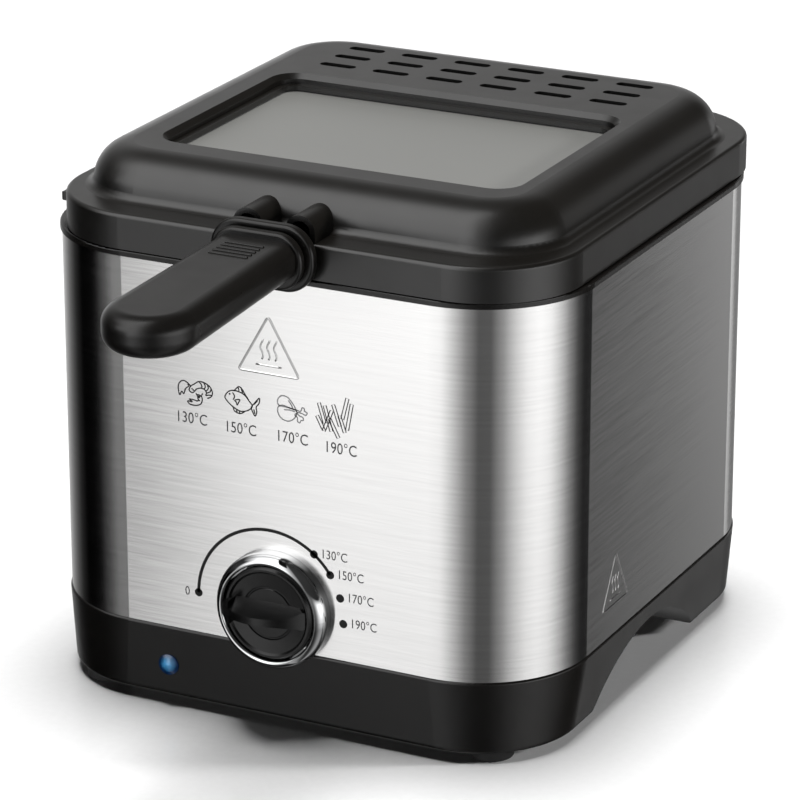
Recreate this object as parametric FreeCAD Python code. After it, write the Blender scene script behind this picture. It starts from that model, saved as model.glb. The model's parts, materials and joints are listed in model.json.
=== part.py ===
import FreeCAD, Part
import math
import os

# Compact deep fryer with a lift-out basket, a pull-off handle and a lift-off lid.
#
# Every piece is modelled in its resting place, in millimetres: the table is z = 0, the front of the
# body faces -Y, +X is to the right of somebody who stands in front of it, and the body is centred on
# x = 0, y = 0. On export each piece is moved along Y by FRAME_SHIFT, so that the written files have
# their origin on the table under the middle of the whole fryer, handle included.

# ---------------------------------------------------------------- driving dimensions
CLEAR = 0.3                      # running gap between pieces that move apart
SNUG = 0.1                       # gap of a push fit, between pieces of one body
HAIR = 0.02                      # gap between pieces that touch, so that their faces never cross
OVER = 1.0                       # how far a cutting tool runs past what it cuts
ROOT = 0.5                       # how far a rib or boss is sunk into the wall that it grows from

# heights above the table
FOOT_HEIGHT = 4.0
BASE_TOP = 34.0
SLEEVE_TOP = 182.5
RIM_TOP = 184.9
LID_BOTTOM = 185.4
LEDGE_TOP = 199.3
LID_TOP = 216.4

# body outline, as half sizes and plan corner radius
BODY_X = 110.0
BODY_Y = 113.3
BODY_R = 45.0

# base tray
BASE_BOTTOM_X = 107.0
BASE_BOTTOM_Y = 112.4
BASE_BOTTOM_R = 40.0
BASE_WALL = 2.5
BASE_EDGE = 2.0
BASE_PROUD = 0.6                 # the tray stands this far out from the sleeve above it
BASE_TOP_EDGE = 1.0
BASE_LIP = 4.0
NOTCH_Y = -6.0
NOTCH_HALF = 50.0
NOTCH_RISE = 22.4
NOTCH_INNER_X = 84.0
FLOOR_SLOTS = 7
FLOOR_SLOT_PITCH = 10.0
FLOOR_SLOT = (4.0, 40.0)
LINER_END = BASE_BOTTOM_X - 1.5  # the notch's inner wall stops short of the tray's outer face

# feet, screws and tie rods
FOOT_AT = (84.0, 97.0)
FOOT_R = 8.5
FOOT_STEM_R = 2.9
FOOT_EDGE = 0.8
FOOT_BUTTON = (3.5, 2.0, 2.5)    # radius at its base, radius at its tip, height
ROD_AT = (80.0, 84.0)
ROD_FLATS = 7.0
ROD_START = 14.0
ROD_END = 176.0
ROD_STUD = 5.0
BOSS_R = 5.4
SCREW_R = 1.9
SCREW_HEAD_R = 3.6
SCREW_HEAD = 1.8
SCREW_SLOT = (0.8, 0.8)          # width, depth
BASE_SCREW_LENGTH = 20.0
ROD_THREAD = 12.0

# steel sleeve
SHEET = 0.8
SEAM_GAP = 0.4
SEAM_STRIP = (14.0, 0.6)
SEAM_STRIP_TOP = 175.0

# top rim and oil pot
RIM_PROUD = 0.8
RIM_EDGE = 0.7
RIM_LIP = (6.5, 2.0)             # depth inside the sleeve, thickness
RIM_MOUTH = 1.0                  # gap between the rim and the pot
POT_X = 86.0
POT_Y = 89.0
POT_R = 38.0
POT_WALL = 1.5
POT_FLOOR = 80.0
POT_FLANGE = (101.6, 111.0, 36.0)
POT_FLANGE_T = 1.2
POT_BOTTOM_R = 12.0
POT_FLANGE_EDGE = 0.8
POT_MOUTH_EDGE = 1.0
LEVEL_LINES = (118.0, 142.0)
LEVEL_LINE_HALF = 20.0
LEVEL_LINE_R = 0.6

# heater
PLATE_HALF = 62.0
PLATE_T = 3.0
PLATE_R = 24.0
PLATE_EDGE = 0.8
ELEMENT_HALF = 48.0
ELEMENT_R = 3.3
ELEMENT_LEG_X = 14.0
ELEMENT_LEG_END = 54.0
ELEMENT_BEND = 8.0
ELEMENT_PIN = (1.4, 7.0)         # radius, length
CLAMP_HALF = (9.0, 5.0)
CLAMP_T = 1.2
CLAMP_EDGE = 1.0
SHIELD_Z = 64.0
SHIELD_T = 0.8
SHIELD = (85.0, 90.0, 34.0)
SHIELD_CLIP = (7.0, 1.2)         # radius, thickness
FUSE_R = 2.4
FUSE_HALF = 9.0
FUSE_CLIP = (4.0, 7.0, 0.8)      # half sizes, thickness
BULB_R = 3.0
BULB_Y = -72.0
BULB_ENDS = (-30.0, 34.0)
BULB_CLIP_XS = (-16.0, 20.0)
BULB_CLIP = (3.0, 5.0, 0.8)      # half sizes, thickness
CAPILLARY_R = 0.8
CAPILLARY_BEND = 5.0
CAPILLARY_LOW = 44.0

# control
KNOB_Z = 50.5
BEZEL_R = 23.5
BEZEL_MOUTH_R = 19.5
BEZEL_DEPTH = 7.4
BEZEL_SIDE = 2.8                 # height of the rim's straight outer side
BEZEL_CREST_R = 20.6
BEZEL_SWELL = 0.15               # bulge of the rim over the chord from side to crest, as a share of the chord
BEZEL_FLOOR = 1.2
KNOB_R = 18.9
KNOB_FACE = 7.3
KNOB_DISH = 1.0                  # the face lies this far below its raised rim
KNOB_BACK = 3.2
KNOB_NUT_ROOM = (9.2, 4.8)       # radius, depth
KNOB_GROOVE = (11.0, 9.8)
GRIP_HEIGHT = 10.0
GRIP_HALF = 4.8
GRIP_CREST = 1.5
GRIP_FLANK_R = 20.0
GRIP_ROOT = 2.0                  # the bar starts this far below the knob's rim
GRIP_END_HEIGHTS = (3.6, 1.3)
GRIP_LEFT = -18.6
GRIP_RIGHT = 16.6
GRIP_TAPER = 3.0
GRIP_BLUNT = 3.0                 # half width of its right end
SHAFT_R = 3.0
SHAFT_AHEAD = 9.0                # in front of the body
SHAFT_BEHIND = 12.0
NECK_R = 4.9
BRACKET_PLATE_T = 1.2
BRACKET_PLATE = (22.0, -10.0, 16.0)   # half width, lower and upper edge from the control's axis
THERMOSTAT_SCREW_X = 14.0
CONTROL_SCREW_R = 1.4
CONTROL_SCREW_LENGTH = 5.0
CONTROL_SCREW_HEAD = (2.6, 1.0)
CONTROL_NUT = (14.0, 2.4, 1.2)   # width across flats, thickness, distance in front of the sleeve
THERMOSTAT_HALF = (11.8, 12.0)
THERMOSTAT_DEPTH = 22.0
BLADE_X = 8.0
BLADE_Z = -8.0
BLADE_LENGTH = 7.0
BLADE_HALF = (3.0, 0.4)
NECK_REACH = 4.2                 # the threaded neck in front of the body
HEAD_R = 4.0
HEAD_RISE = 5.0                  # the capillary's head above the control's axis
HEAD_DEPTH = 4.0
LAMP_X = -47.7
LAMP_Z = 17.5
LENS_R = 4.2
LENS_DOME_R = 8.0
LENS_DEPTH = 8.0
LENS_PROUD = 0.4
LAMP_R = 2.6
LAMP_LENGTH = 13.0
HOLDER_START = 3.6
HOLDER_LENGTH = 12.0
LAMP_WALL = 2.2
GLAND_X = 45.0
GLAND_Z = 19.0
GLAND_BORE_R = 3.6
GLAND_SLEEVE_R = 5.9
GLAND_FLANGE = (9.0, 2.5)        # radius, thickness
GLAND_DEPTH = 14.0
GLAND_NUT = (16.0, 3.0, 7.0)     # width across flats, thickness, how far it sits inside the wall
TERMINALS = 3
TERMINAL_PITCH = 10.0
TERMINAL_FIRST = (53.0, 70.0)
TERMINAL_BLOCK = ((48.0, 78.0), (62.0, 78.0), 16.0)
WELL_R = 2.2
WELL_FLOOR = 10.0                # of the screw wells, above the tray's floor
LEAD_HEIGHT = 6.0
LEAD_R = 1.1
LEAD_BEND = 6.0
PLATE_OF_DATA = (22.0, 0.3, 52.0, 80.0)

# basket
BASKET_X = 76.0
BASKET_Y = 78.0
BASKET_R = 28.0
BASKET_SKIN = 1.2
BASKET_BOTTOM = 85.4
BASKET_TOP = 172.0
BASKET_BOTTOM_R = 10.0
RIM_WIRE_R = 2.0
FRAME_WIRE_R = 1.6
FRAME_WIRE_GAP = 0.4
FRAME_WIRE_YS = (-30.0, 30.0)
BRACKET_HALF = 17.0
BRACKET_T = 1.2
BRACKET_BOTTOM = 150.0
BRACKET_CORNER = 3.0
BRACKET_WAIST = 6.5
BRACKET_FRONT = -BASKET_Y - 2.0
BRACKET_INNER = -BASKET_Y + 5.0
RIM_WIRE_Z = BASKET_TOP + RIM_WIRE_R
RIVET_R = 2.0
RIVETS = ((-9.0, 160.0), (9.0, 160.0))
RIVET_HEAD = (3.6, 1.4)          # radius, height
RIVET_SPACER_R = 3.2

# handle
PRONG_X = 10.9
PRONG_Z = 201.0
PRONG_R = 2.0
PRONG_TIP_Y = -66.0
EYE_R = PRONG_R + CLEAR
WIRE_TURN = 26.0                 # from the grip's tip to the far end of the wire inside it
WIRE_STEP = 16.0
WIRE_BEND = 9.0
COLLAR_BACK = -118.0
COLLAR_FLANGE = (21.5, 13.0, 12.0)
COLLAR_LIP = (19.0, 11.0, 10.4)
COLLAR_Z = 194.5
COLLAR_FLANGE_T = 4.0
COLLAR_LIP_T = 3.6
COLLAR_GROOVE = 1.0
HANDLE_TIP_Y = -221.0
GRIP_NECK_HALF = 16.9
GRIP_TIP_HALF = 18.2
GRIP_NECK_Z = (187.6, 202.6)
GRIP_TIP_Z = (184.2, 200.0)
GRIP_EDGE = 6.4
GRIP_WIRE_Z = 194.5
GRIP_RIBS = 5
GRIP_RIB_PITCH = 3.1
GRIP_RIB_FIRST = -134.6
GRIP_RIB = (16.0, 1.1, 0.5)
GRIP_RIB_EDGE = 0.35
COLLAR_EDGE = 1.2
GRIP_NECK_Y = COLLAR_BACK - COLLAR_FLANGE_T - COLLAR_GROOVE - COLLAR_LIP_T
COVER_TOP = 189.5
COVER_INSET = (7.0, 9.0)         # from the grip's sides and ends
COVER_SCREW_YS = (-146.0, -200.0)
COVER_SCREW_HEAD = (2.5, 1.4, 186.5)
COVER_SCREW = (1.25, 9.0)

# lid
LID_SHIFT_X = 1.2                # the lid rests this far to the right, within its play on the rim
SKIRT_SHIFT_X = 2.4              # middle of its lower wall
TOP_SHIFT_X = 2.7                # middle of its window, vents and filter
LID_X = 106.8
LID_Y = 114.6
LID_R = 39.0
LID_WALL = 2.5
DOME_X = 98.3
DOME_Y = 99.4
DOME_R = 30.0
DOME_EDGE = 15.5
DOME_FOOT_R = 3.5
TUNNEL_Z = 203.2
TUNNEL_R = 6.2
TUNNEL_BORE_R = 4.0
TUNNEL_FRONT = -114.0
TUNNEL_BACK = -92.0
CUTOUT_HALF = 15.0
LID_EDGE = 1.6
TAB = (6.5, 16.0, 3.6)
TAB_AT = (-74.0, 189.4)
TAB_SUNK = 1.5
TAB_EDGE = 1.0
RIB_REACH_X = 8.5                # from the lid's outer face inwards
RIB_REACH_Y = 13.0
RIB_AT = 45.0
RIB_HALF = 1.0
WINDOW_Y = -19.0
WINDOW = (74.2, 52.0, 9.0)
WINDOW_LIP = 2.0
WINDOW_WALL = 4.0
WINDOW_STEP = 3.0
LENS_TOP = 210.0
GLASS_T = 2.7
GASKET_T = 0.6
RETAINER_T = 1.5
RETAINER_REACH = 7.0
POCKET_WALL = 5.0
GLASS_GROW = 0.8                 # the glass and its seal run this far past the window's mouth
SEAL_INSET = 2.6
SCREW_OUT = 4.4                  # the frame's screws stand this far outside the window
SCREW_SPREAD = 45.0
WINDOW_BOSS_R = 2.6
WINDOW_SCREW = (2.6, 1.2, 1.2, 5.2)   # head radius, head height, shank radius, shank length
VENT_COLUMNS = 6
VENT_PITCH = 24.0
VENT_ROWS = (51.2, 64.4, 77.6)
VENT = (15.9, 4.5)
FILTER = (68.0, 16.8, 6.0)
FILTER_Y = 64.4
FILTER_BOTTOM = 206.0
FILTER_R = 5.0
COVER_WALL = 1.8
COVER_FLOOR = 1.6
COVER_SLOT = (20.0, 3.0)
COVER_SLOT_COLUMNS = 5
COVER_SLOT_PITCH = 26.0
COVER_SLOT_ROWS = (-12.0, -4.0, 4.0, 12.0)

FRONT = -BODY_Y
GLAND_BACK = BODY_Y + GLAND_FLANGE[1]
FRAME_SHIFT = -(HANDLE_TIP_Y + GLAND_BACK) / 2.0

X_AXIS = FreeCAD.Vector(1, 0, 0)
Y_AXIS = FreeCAD.Vector(0, 1, 0)
Z_AXIS = FreeCAD.Vector(0, 0, 1)
CORNERS = ((-1, -1), (1, -1), (1, 1), (-1, 1))


# ---------------------------------------------------------------- helpers
def vec(x, y, z):
    return FreeCAD.Vector(x, y, z)


def rounded_wire(half_x, half_y, radius, z, centre=(0.0, 0.0)):
    """A closed rectangle with round corners, flat at height z."""
    cx, cy = centre
    bend = radius * (1.0 - math.sqrt(0.5))
    edges = []
    for i, (sx, sy) in enumerate(CORNERS):
        tx, ty = CORNERS[(i + 1) % 4]
        corner = vec(cx + sx * half_x, cy + sy * half_y, z)
        following = vec(cx + tx * half_x, cy + ty * half_y, z)
        along = (following - corner).normalize()
        back = vec(cx + CORNERS[i - 1][0] * half_x, cy + CORNERS[i - 1][1] * half_y, z)
        before = (back - corner).normalize()
        start = corner + before * radius
        middle = corner - vec(sx * bend, sy * bend, 0)
        end = corner + along * radius
        edges.append(Part.Arc(start, middle, end).toShape())
        edges.append(Part.LineSegment(end, following - along * radius).toShape())
    return Part.Wire(edges)


def rounded_block(half_x, half_y, radius, z0, z1, centre=(0.0, 0.0)):
    wire = rounded_wire(half_x, half_y, radius, z0, centre)
    return Part.Face(wire).extrude(vec(0, 0, z1 - z0))


def body_block(inset, z0, z1):
    """A slice of the body's outline, drawn in by inset."""
    return rounded_block(BODY_X - inset, BODY_Y - inset, BODY_R - inset, z0, z1)


def box(x, y, z):
    """A box from its (low, high) pairs."""
    return Part.makeBox(x[1] - x[0], y[1] - y[0], z[1] - z[0], vec(x[0], y[0], z[0]))


def rod(start, end, radius):
    axis = end - start
    return Part.makeCylinder(radius, axis.Length, start, axis)


def hexagon_rod(x, y, z0, z1, flats):
    """A hexagonal bar along Z, flats being its width across flats."""
    reach = flats / math.sqrt(3.0)
    points = [vec(x + reach * math.cos(math.radians(a)), y + reach * math.sin(math.radians(a)), z0)
              for a in range(0, 361, 60)]
    return Part.Face(Part.makePolygon(points)).extrude(vec(0, 0, z1 - z0))


def slot_block(x, y, length, width, z0, z1):
    """A straight slot with round ends, its length along X."""
    radius = width / 2.0
    half = length / 2.0 - radius
    middle = box((x - half, x + half), (y - radius, y + radius), (z0, z1))
    ends = [Part.makeCylinder(radius, z1 - z0, vec(x + s * half, y, z0)) for s in (-1, 1)]
    return middle.fuse(ends).removeSplitter()


def edges_at(shape, z):
    """The edges that lie flat at height z."""
    return [e for e in shape.Edges
            if abs(e.BoundBox.ZMin - z) < 1e-3 and abs(e.BoundBox.ZMax - z) < 1e-3]


def filleted(shape, radius, z):
    return shape.makeFillet(radius, edges_at(shape, z))


def bent_path(points, radius):
    """Straight runs through points, joined by tangent arcs of one radius."""
    edges = []
    start = points[0]
    for before, corner, after in zip(points, points[1:], points[2:]):
        u = (before - corner).normalize()
        v = (after - corner).normalize()
        half = math.acos(max(-1.0, min(1.0, u.dot(v)))) / 2.0
        reach = radius / math.tan(half)
        inward = (u + v).normalize()
        middle = corner + inward * (radius / math.sin(half) - radius)
        edges.append(Part.LineSegment(start, corner + u * reach).toShape())
        edges.append(Part.Arc(corner + u * reach, middle, corner + v * reach).toShape())
        start = corner + v * reach
    edges.append(Part.LineSegment(start, points[-1]).toShape())
    return Part.Wire(edges)


def tube_along(path, radius):
    """A round bar swept along a wire."""
    first = path.OrderedEdges[0]
    start = first.valueAt(first.FirstParameter)
    heading = first.tangentAt(first.FirstParameter)
    profile = Part.Wire(Part.makeCircle(radius, start, heading))
    return path.makePipeShell([profile], True, True)


def bent_bar(points, bend, radius):
    return tube_along(bent_path(points, bend), radius)


def pan_screw_up(x, y, z, length):
    """A screw driven upwards: its head hangs under z."""
    head = Part.makeCylinder(SCREW_HEAD_R, SCREW_HEAD, vec(x, y, z - SCREW_HEAD))
    head = head.makeFillet(SCREW_HEAD * 0.5, edges_at(head, z - SCREW_HEAD))
    low = z - SCREW_HEAD
    slot = box((x - SCREW_HEAD_R, x + SCREW_HEAD_R), (y - SCREW_SLOT[0] / 2, y + SCREW_SLOT[0] / 2),
               (low - OVER, low + SCREW_SLOT[1]))
    return head.cut(slot).fuse(Part.makeCylinder(SCREW_R, length, vec(x, y, z))).removeSplitter()


def arch_prism(half, rise, z0, x0, x1, y):
    """A circular arch standing on z0, run along X."""
    ends = (vec(x0, y - half, z0), vec(x0, y + half, z0))
    crown = vec(x0, y, z0 + rise)
    wire = Part.Wire([Part.Arc(ends[0], crown, ends[1]).toShape(),
                      Part.LineSegment(ends[1], ends[0]).toShape()])
    return Part.Face(wire).extrude(vec(x1 - x0, 0, 0))


def hexagon_across_y(x, y, z, flats, depth):
    """A hexagonal nut blank, its axis along Y, from y forward by depth."""
    reach = flats / math.sqrt(3.0)
    points = [vec(x + reach * math.cos(math.radians(a)), y, z + reach * math.sin(math.radians(a)))
              for a in range(0, 361, 60)]
    return Part.Face(Part.makePolygon(points)).extrude(vec(0, -depth, 0))


def closed_edges_at(shape, y):
    """The round edges that stand across Y at y."""
    return [e for e in shape.Edges if e.Closed and abs(e.CenterOfMass.y - y) < 1e-3]


def revolved_about_knob(points):
    """Turn a profile of (radius, distance in front of the body) points about the knob's axis."""
    ring = [vec(r, FRONT - d, KNOB_Z) for r, d in points]
    face = Part.Face(Part.makePolygon(ring + ring[:1]))
    return face.revolve(vec(0, 0, KNOB_Z), Y_AXIS, 360.0)


# ---------------------------------------------------------------- housing
def base_tray():
    outer = Part.makeLoft([rounded_wire(BASE_BOTTOM_X, BASE_BOTTOM_Y, BASE_BOTTOM_R, FOOT_HEIGHT),
                           rounded_wire(BODY_X + BASE_PROUD, BODY_Y + BASE_PROUD, BODY_R + BASE_PROUD,
                                        BASE_TOP)], True)
    outer = filleted(outer, BASE_EDGE, FOOT_HEIGHT)
    outer = filleted(outer, BASE_TOP_EDGE, BASE_TOP)
    floor = FOOT_HEIGHT + BASE_WALL
    inner = Part.makeLoft([rounded_wire(BASE_BOTTOM_X - BASE_WALL, BASE_BOTTOM_Y - BASE_WALL,
                                        BASE_BOTTOM_R - BASE_WALL, floor),
                           rounded_wire(BODY_X - BASE_WALL, BODY_Y - BASE_WALL,
                                        BODY_R - BASE_WALL, BASE_TOP)], True)
    tray = outer.cut(inner)
    lip_inset = SHEET + SNUG
    lip = body_block(lip_inset, BASE_TOP - BASE_LIP, BASE_TOP + BASE_LIP)
    lip = lip.cut(body_block(lip_inset + BASE_WALL, BASE_TOP - BASE_LIP - OVER, BASE_TOP + BASE_LIP + OVER))
    tray = tray.fuse(lip)
    for side in (-1, 1):
        liner = arch_prism(NOTCH_HALF + BASE_WALL, NOTCH_RISE + BASE_WALL, FOOT_HEIGHT,
                           side * (NOTCH_INNER_X - BASE_WALL), side * LINER_END, NOTCH_Y)
        tray = tray.fuse(liner)
    for side in (-1, 1):
        hollow = arch_prism(NOTCH_HALF, NOTCH_RISE, FOOT_HEIGHT - HAIR,
                            side * NOTCH_INNER_X, side * (BODY_X + OVER), NOTCH_Y)
        tray = tray.cut(hollow)
    for sx, sy in CORNERS:
        boss_at = vec(sx * ROD_AT[0], sy * ROD_AT[1], floor)
        tray = tray.fuse(Part.makeCylinder(BOSS_R, ROD_START - floor, boss_at))
    holes = []
    for spot, radius in ((ROD_AT, SCREW_R), (FOOT_AT, FOOT_STEM_R)):
        for sx, sy in CORNERS:
            holes.append(Part.makeCylinder(radius + SNUG, ROD_START, vec(sx * spot[0], sy * spot[1], 0)))
    for i in range(FLOOR_SLOTS):
        x = (i - (FLOOR_SLOTS - 1) / 2.0) * FLOOR_SLOT_PITCH
        holes.append(box((x - FLOOR_SLOT[0] / 2, x + FLOOR_SLOT[0] / 2),
                         (-FLOOR_SLOT[1] / 2, FLOOR_SLOT[1] / 2), (0, floor + OVER)))
    through = 2 * BASE_WALL + OVER
    holes.append(rod(vec(LAMP_X, FRONT - OVER, LAMP_Z), vec(LAMP_X, FRONT + through, LAMP_Z), LENS_R + SNUG))
    holes.append(rod(vec(GLAND_X, BODY_Y + OVER, GLAND_Z), vec(GLAND_X, BODY_Y - through, GLAND_Z),
                     GLAND_SLEEVE_R + SNUG))
    holes.append(rod(vec(0, FRONT - OVER, KNOB_Z), vec(0, FRONT, KNOB_Z), BEZEL_R + SNUG))
    holes.append(rod(vec(GLAND_X, BODY_Y, GLAND_Z), vec(GLAND_X, BODY_Y + OVER, GLAND_Z),
                     GLAND_FLANGE[0] + SNUG))
    return tray.cut(holes)


def rubber_feet():
    feet = []
    for sx, sy in CORNERS:
        at = vec(sx * FOOT_AT[0], sy * FOOT_AT[1], 0)
        pad = Part.makeCylinder(FOOT_R, FOOT_HEIGHT, at)
        pad = filleted(pad, FOOT_EDGE, 0.0)
        stem = Part.makeCylinder(FOOT_STEM_R, FOOT_HEIGHT + BASE_WALL, at)
        button = Part.makeCone(*FOOT_BUTTON, at + vec(0, 0, FOOT_HEIGHT + BASE_WALL))
        feet.append(pad.fuse([stem, button]).removeSplitter())
    return feet


def base_screws():
    return [pan_screw_up(sx * ROD_AT[0], sy * ROD_AT[1], FOOT_HEIGHT, BASE_SCREW_LENGTH)
            for sx, sy in CORNERS]


def tie_rods():
    rods = []
    for sx, sy in CORNERS:
        x, y = sx * ROD_AT[0], sy * ROD_AT[1]
        bar = hexagon_rod(x, y, ROD_START, ROD_END, ROD_FLATS)
        bar = bar.fuse(Part.makeCylinder(SCREW_R, ROD_STUD, vec(x, y, ROD_END)))
        rods.append(bar.cut(Part.makeCylinder(SCREW_R + SNUG / 2, ROD_THREAD, vec(x, y, ROD_START))))
    return rods


def steel_sleeve():
    low = BASE_TOP - OVER
    high = SLEEVE_TOP + OVER
    sleeve = body_block(0.0, BASE_TOP, SLEEVE_TOP).cut(body_block(SHEET, low, high))
    seam = box((-SEAM_GAP / 2, SEAM_GAP / 2), (BODY_Y - SHEET - OVER, BODY_Y + OVER), (low, high))
    return sleeve.cut([seam] + control_holes(FRONT, SHEET))


def control_holes(front, thickness):
    """The three holes through an upright plate for the control's neck and its two screws."""
    start = front - OVER
    end = front + thickness + OVER
    neck = rod(vec(0, start, KNOB_Z), vec(0, end, KNOB_Z), NECK_R + SNUG)
    screws = [rod(vec(s * THERMOSTAT_SCREW_X, start, KNOB_Z), vec(s * THERMOSTAT_SCREW_X, end, KNOB_Z),
                  CONTROL_SCREW_R + SNUG / 2) for s in (-1, 1)]
    return [neck] + screws


def seam_strip():
    half = SEAM_STRIP[0] / 2
    inner = BODY_Y - SHEET
    return box((-half, half), (inner - SEAM_STRIP[1], inner), (BASE_TOP + BASE_LIP + OVER, SEAM_STRIP_TOP))


def top_rim():
    proud = body_block(-RIM_PROUD, SLEEVE_TOP, RIM_TOP)
    proud = filleted(proud, RIM_EDGE, RIM_TOP)
    depth, thickness = RIM_LIP
    lip = body_block(SHEET + SNUG, SLEEVE_TOP - depth, SLEEVE_TOP)
    lip = lip.cut(body_block(SHEET + SNUG + thickness, SLEEVE_TOP - depth - OVER, SLEEVE_TOP + OVER))
    ring = proud.fuse(lip)
    bosses = [Part.makeCylinder(BOSS_R, SLEEVE_TOP - ROD_END, vec(sx * ROD_AT[0], sy * ROD_AT[1], ROD_END))
              for sx, sy in CORNERS]
    ring = ring.fuse(bosses)
    grow = POT_WALL + RIM_MOUTH
    mouth = rounded_block(POT_X + grow, POT_Y + grow, POT_R + grow, ROD_END - OVER, RIM_TOP + OVER)
    sockets = [Part.makeCylinder(SCREW_R + SNUG / 2, ROD_STUD + CLEAR,
                                 vec(sx * ROD_AT[0], sy * ROD_AT[1], ROD_END)) for sx, sy in CORNERS]
    return ring.cut([mouth] + sockets)


def oil_pot():
    outer = rounded_block(POT_X + POT_WALL, POT_Y + POT_WALL, POT_R + POT_WALL, POT_FLOOR, RIM_TOP)
    outer = filleted(outer, POT_BOTTOM_R + POT_WALL, POT_FLOOR)
    flange = rounded_block(*POT_FLANGE, RIM_TOP, RIM_TOP + POT_FLANGE_T)
    flange = filleted(flange, POT_FLANGE_EDGE, RIM_TOP + POT_FLANGE_T)
    inner = rounded_block(POT_X, POT_Y, POT_R, POT_FLOOR + POT_WALL, RIM_TOP + POT_FLANGE_T + OVER)
    inner = filleted(inner, POT_BOTTOM_R, POT_FLOOR + POT_WALL)
    pot = outer.fuse(flange).cut(inner)
    lines = [rod(vec(-LEVEL_LINE_HALF, POT_Y, z), vec(LEVEL_LINE_HALF, POT_Y, z), LEVEL_LINE_R)
             for z in LEVEL_LINES]
    return filleted_mouth(pot.fuse(lines))


def filleted_mouth(pot):
    """Round the pot's mouth, where the wall turns out into the flange."""
    top = RIM_TOP + POT_FLANGE_T
    mouth = [e for e in edges_at(pot, top)
             if abs(e.CenterOfMass.x) < POT_X + OVER and abs(e.CenterOfMass.y) < POT_Y + OVER]
    return pot.makeFillet(POT_MOUTH_EDGE, mouth)


def heater_plate():
    plate = rounded_block(PLATE_HALF, PLATE_HALF, PLATE_R, POT_FLOOR - PLATE_T, POT_FLOOR)
    return filleted(plate, PLATE_EDGE, POT_FLOOR - PLATE_T)


def element_z():
    return POT_FLOOR - PLATE_T - ELEMENT_R - SNUG


def heating_element():
    z = element_z()
    h = ELEMENT_HALF
    leg = ELEMENT_LEG_X
    points = [vec(leg, h, ELEMENT_LEG_END), vec(leg, h, z), vec(h, h, z), vec(h, -h, z),
              vec(-h, -h, z), vec(-h, h, z), vec(-leg, h, z), vec(-leg, h, ELEMENT_LEG_END)]
    tube = bent_bar(points, ELEMENT_BEND, ELEMENT_R)
    pin_r, pin_length = ELEMENT_PIN
    pins = []
    for s in (-1, 1):
        end = vec(s * ELEMENT_LEG_X, h, ELEMENT_LEG_END)
        pins.append(rod(end, end - vec(0, 0, pin_length), pin_r))
    return tube.fuse(pins)


def element_clamps():
    z = element_z()
    half_x, half_y = CLAMP_HALF
    low = z - ELEMENT_R - CLAMP_T
    bore_r = ELEMENT_R + SNUG
    clamps = []
    for angle in (0, 90, 270):
        strap = box((ELEMENT_HALF - half_x, ELEMENT_HALF + half_x), (-half_y, half_y),
                    (low, POT_FLOOR - PLATE_T))
        channel = rod(vec(ELEMENT_HALF, -half_y - OVER, z), vec(ELEMENT_HALF, half_y + OVER, z), bore_r)
        above = box((ELEMENT_HALF - bore_r, ELEMENT_HALF + bore_r), (-half_y - OVER, half_y + OVER),
                    (z, POT_FLOOR))
        clamp = strap.cut([channel, above])
        clamp = filleted(clamp, CLAMP_EDGE, low)
        clamp.rotate(vec(0, 0, 0), Z_AXIS, angle)
        clamps.append(clamp)
    return clamps


def heat_shield():
    """A sheet under the heater, open at the front where the sensing bulb's line comes down."""
    shield = rounded_block(*SHIELD, SHIELD_Z, SHIELD_Z + SHIELD_T)
    low = SHIELD_Z - OVER
    depth = SHIELD_T + 2 * OVER
    cuts = [box((-PLATE_HALF, PLATE_HALF), (-SHIELD[1] - OVER, -PLATE_HALF), (low, low + depth))]
    for s in (-1, 1):
        cuts.append(Part.makeCylinder(ELEMENT_R + OVER, depth, vec(s * ELEMENT_LEG_X, ELEMENT_HALF, low)))
    for sx, sy in CORNERS:
        cuts.append(Part.makeCylinder(ROD_FLATS / math.sqrt(3) + SNUG, depth,
                                      vec(sx * ROD_AT[0], sy * ROD_AT[1], low)))
    return shield.cut(cuts)


def shield_clips():
    clips = []
    for sx, sy in CORNERS:
        x, y = sx * ROD_AT[0], sy * ROD_AT[1]
        radius, thickness = SHIELD_CLIP
        low = SHIELD_Z - thickness
        washer = Part.makeCylinder(radius, thickness, vec(x, y, low))
        clips.append(washer.cut(hexagon_rod(x, y, low - OVER, SHIELD_Z + OVER, ROD_FLATS)))
    return clips


def thermal_fuse():
    z = POT_FLOOR - PLATE_T - FUSE_R
    fuse = rod(vec(-FUSE_HALF, 0, z), vec(FUSE_HALF, 0, z), FUSE_R)
    return fuse.makeFillet(FUSE_R / 4, [e for e in fuse.Edges if e.Closed])


def fuse_clip():
    return saddle_clip(0.0, 0.0, POT_FLOOR - PLATE_T, FUSE_R, FUSE_CLIP)


def saddle_clip(x, y, top, radius, sizes):
    """A strap, half_x by half_y in plan, that holds a round body lying along X against a flat top."""
    half_x, half_y, thickness = sizes
    z = top - radius
    ends = (x - half_x - OVER, x + half_x + OVER)
    bore_r = radius + HAIR
    clip = box((x - half_x, x + half_x), (y - half_y, y + half_y), (z - radius - thickness, top))
    bore = rod(vec(ends[0], y, z), vec(ends[1], y, z), bore_r)
    above = box(ends, (y - bore_r, y + bore_r), (z, top + OVER))
    return clip.cut([bore, above])


def thermostat_bracket():
    back = FRONT + SHEET
    half_x, low, high = BRACKET_PLATE
    plate = box((-half_x, half_x), (back, back + BRACKET_PLATE_T), (KNOB_Z + low, KNOB_Z + high))
    corners = [e for e in plate.Edges if e.BoundBox.XLength < 1e-6 and e.BoundBox.ZLength < 1e-6]
    return plate.makeFillet(BRACKET_CORNER, corners).cut(control_holes(back, BRACKET_PLATE_T))


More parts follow.
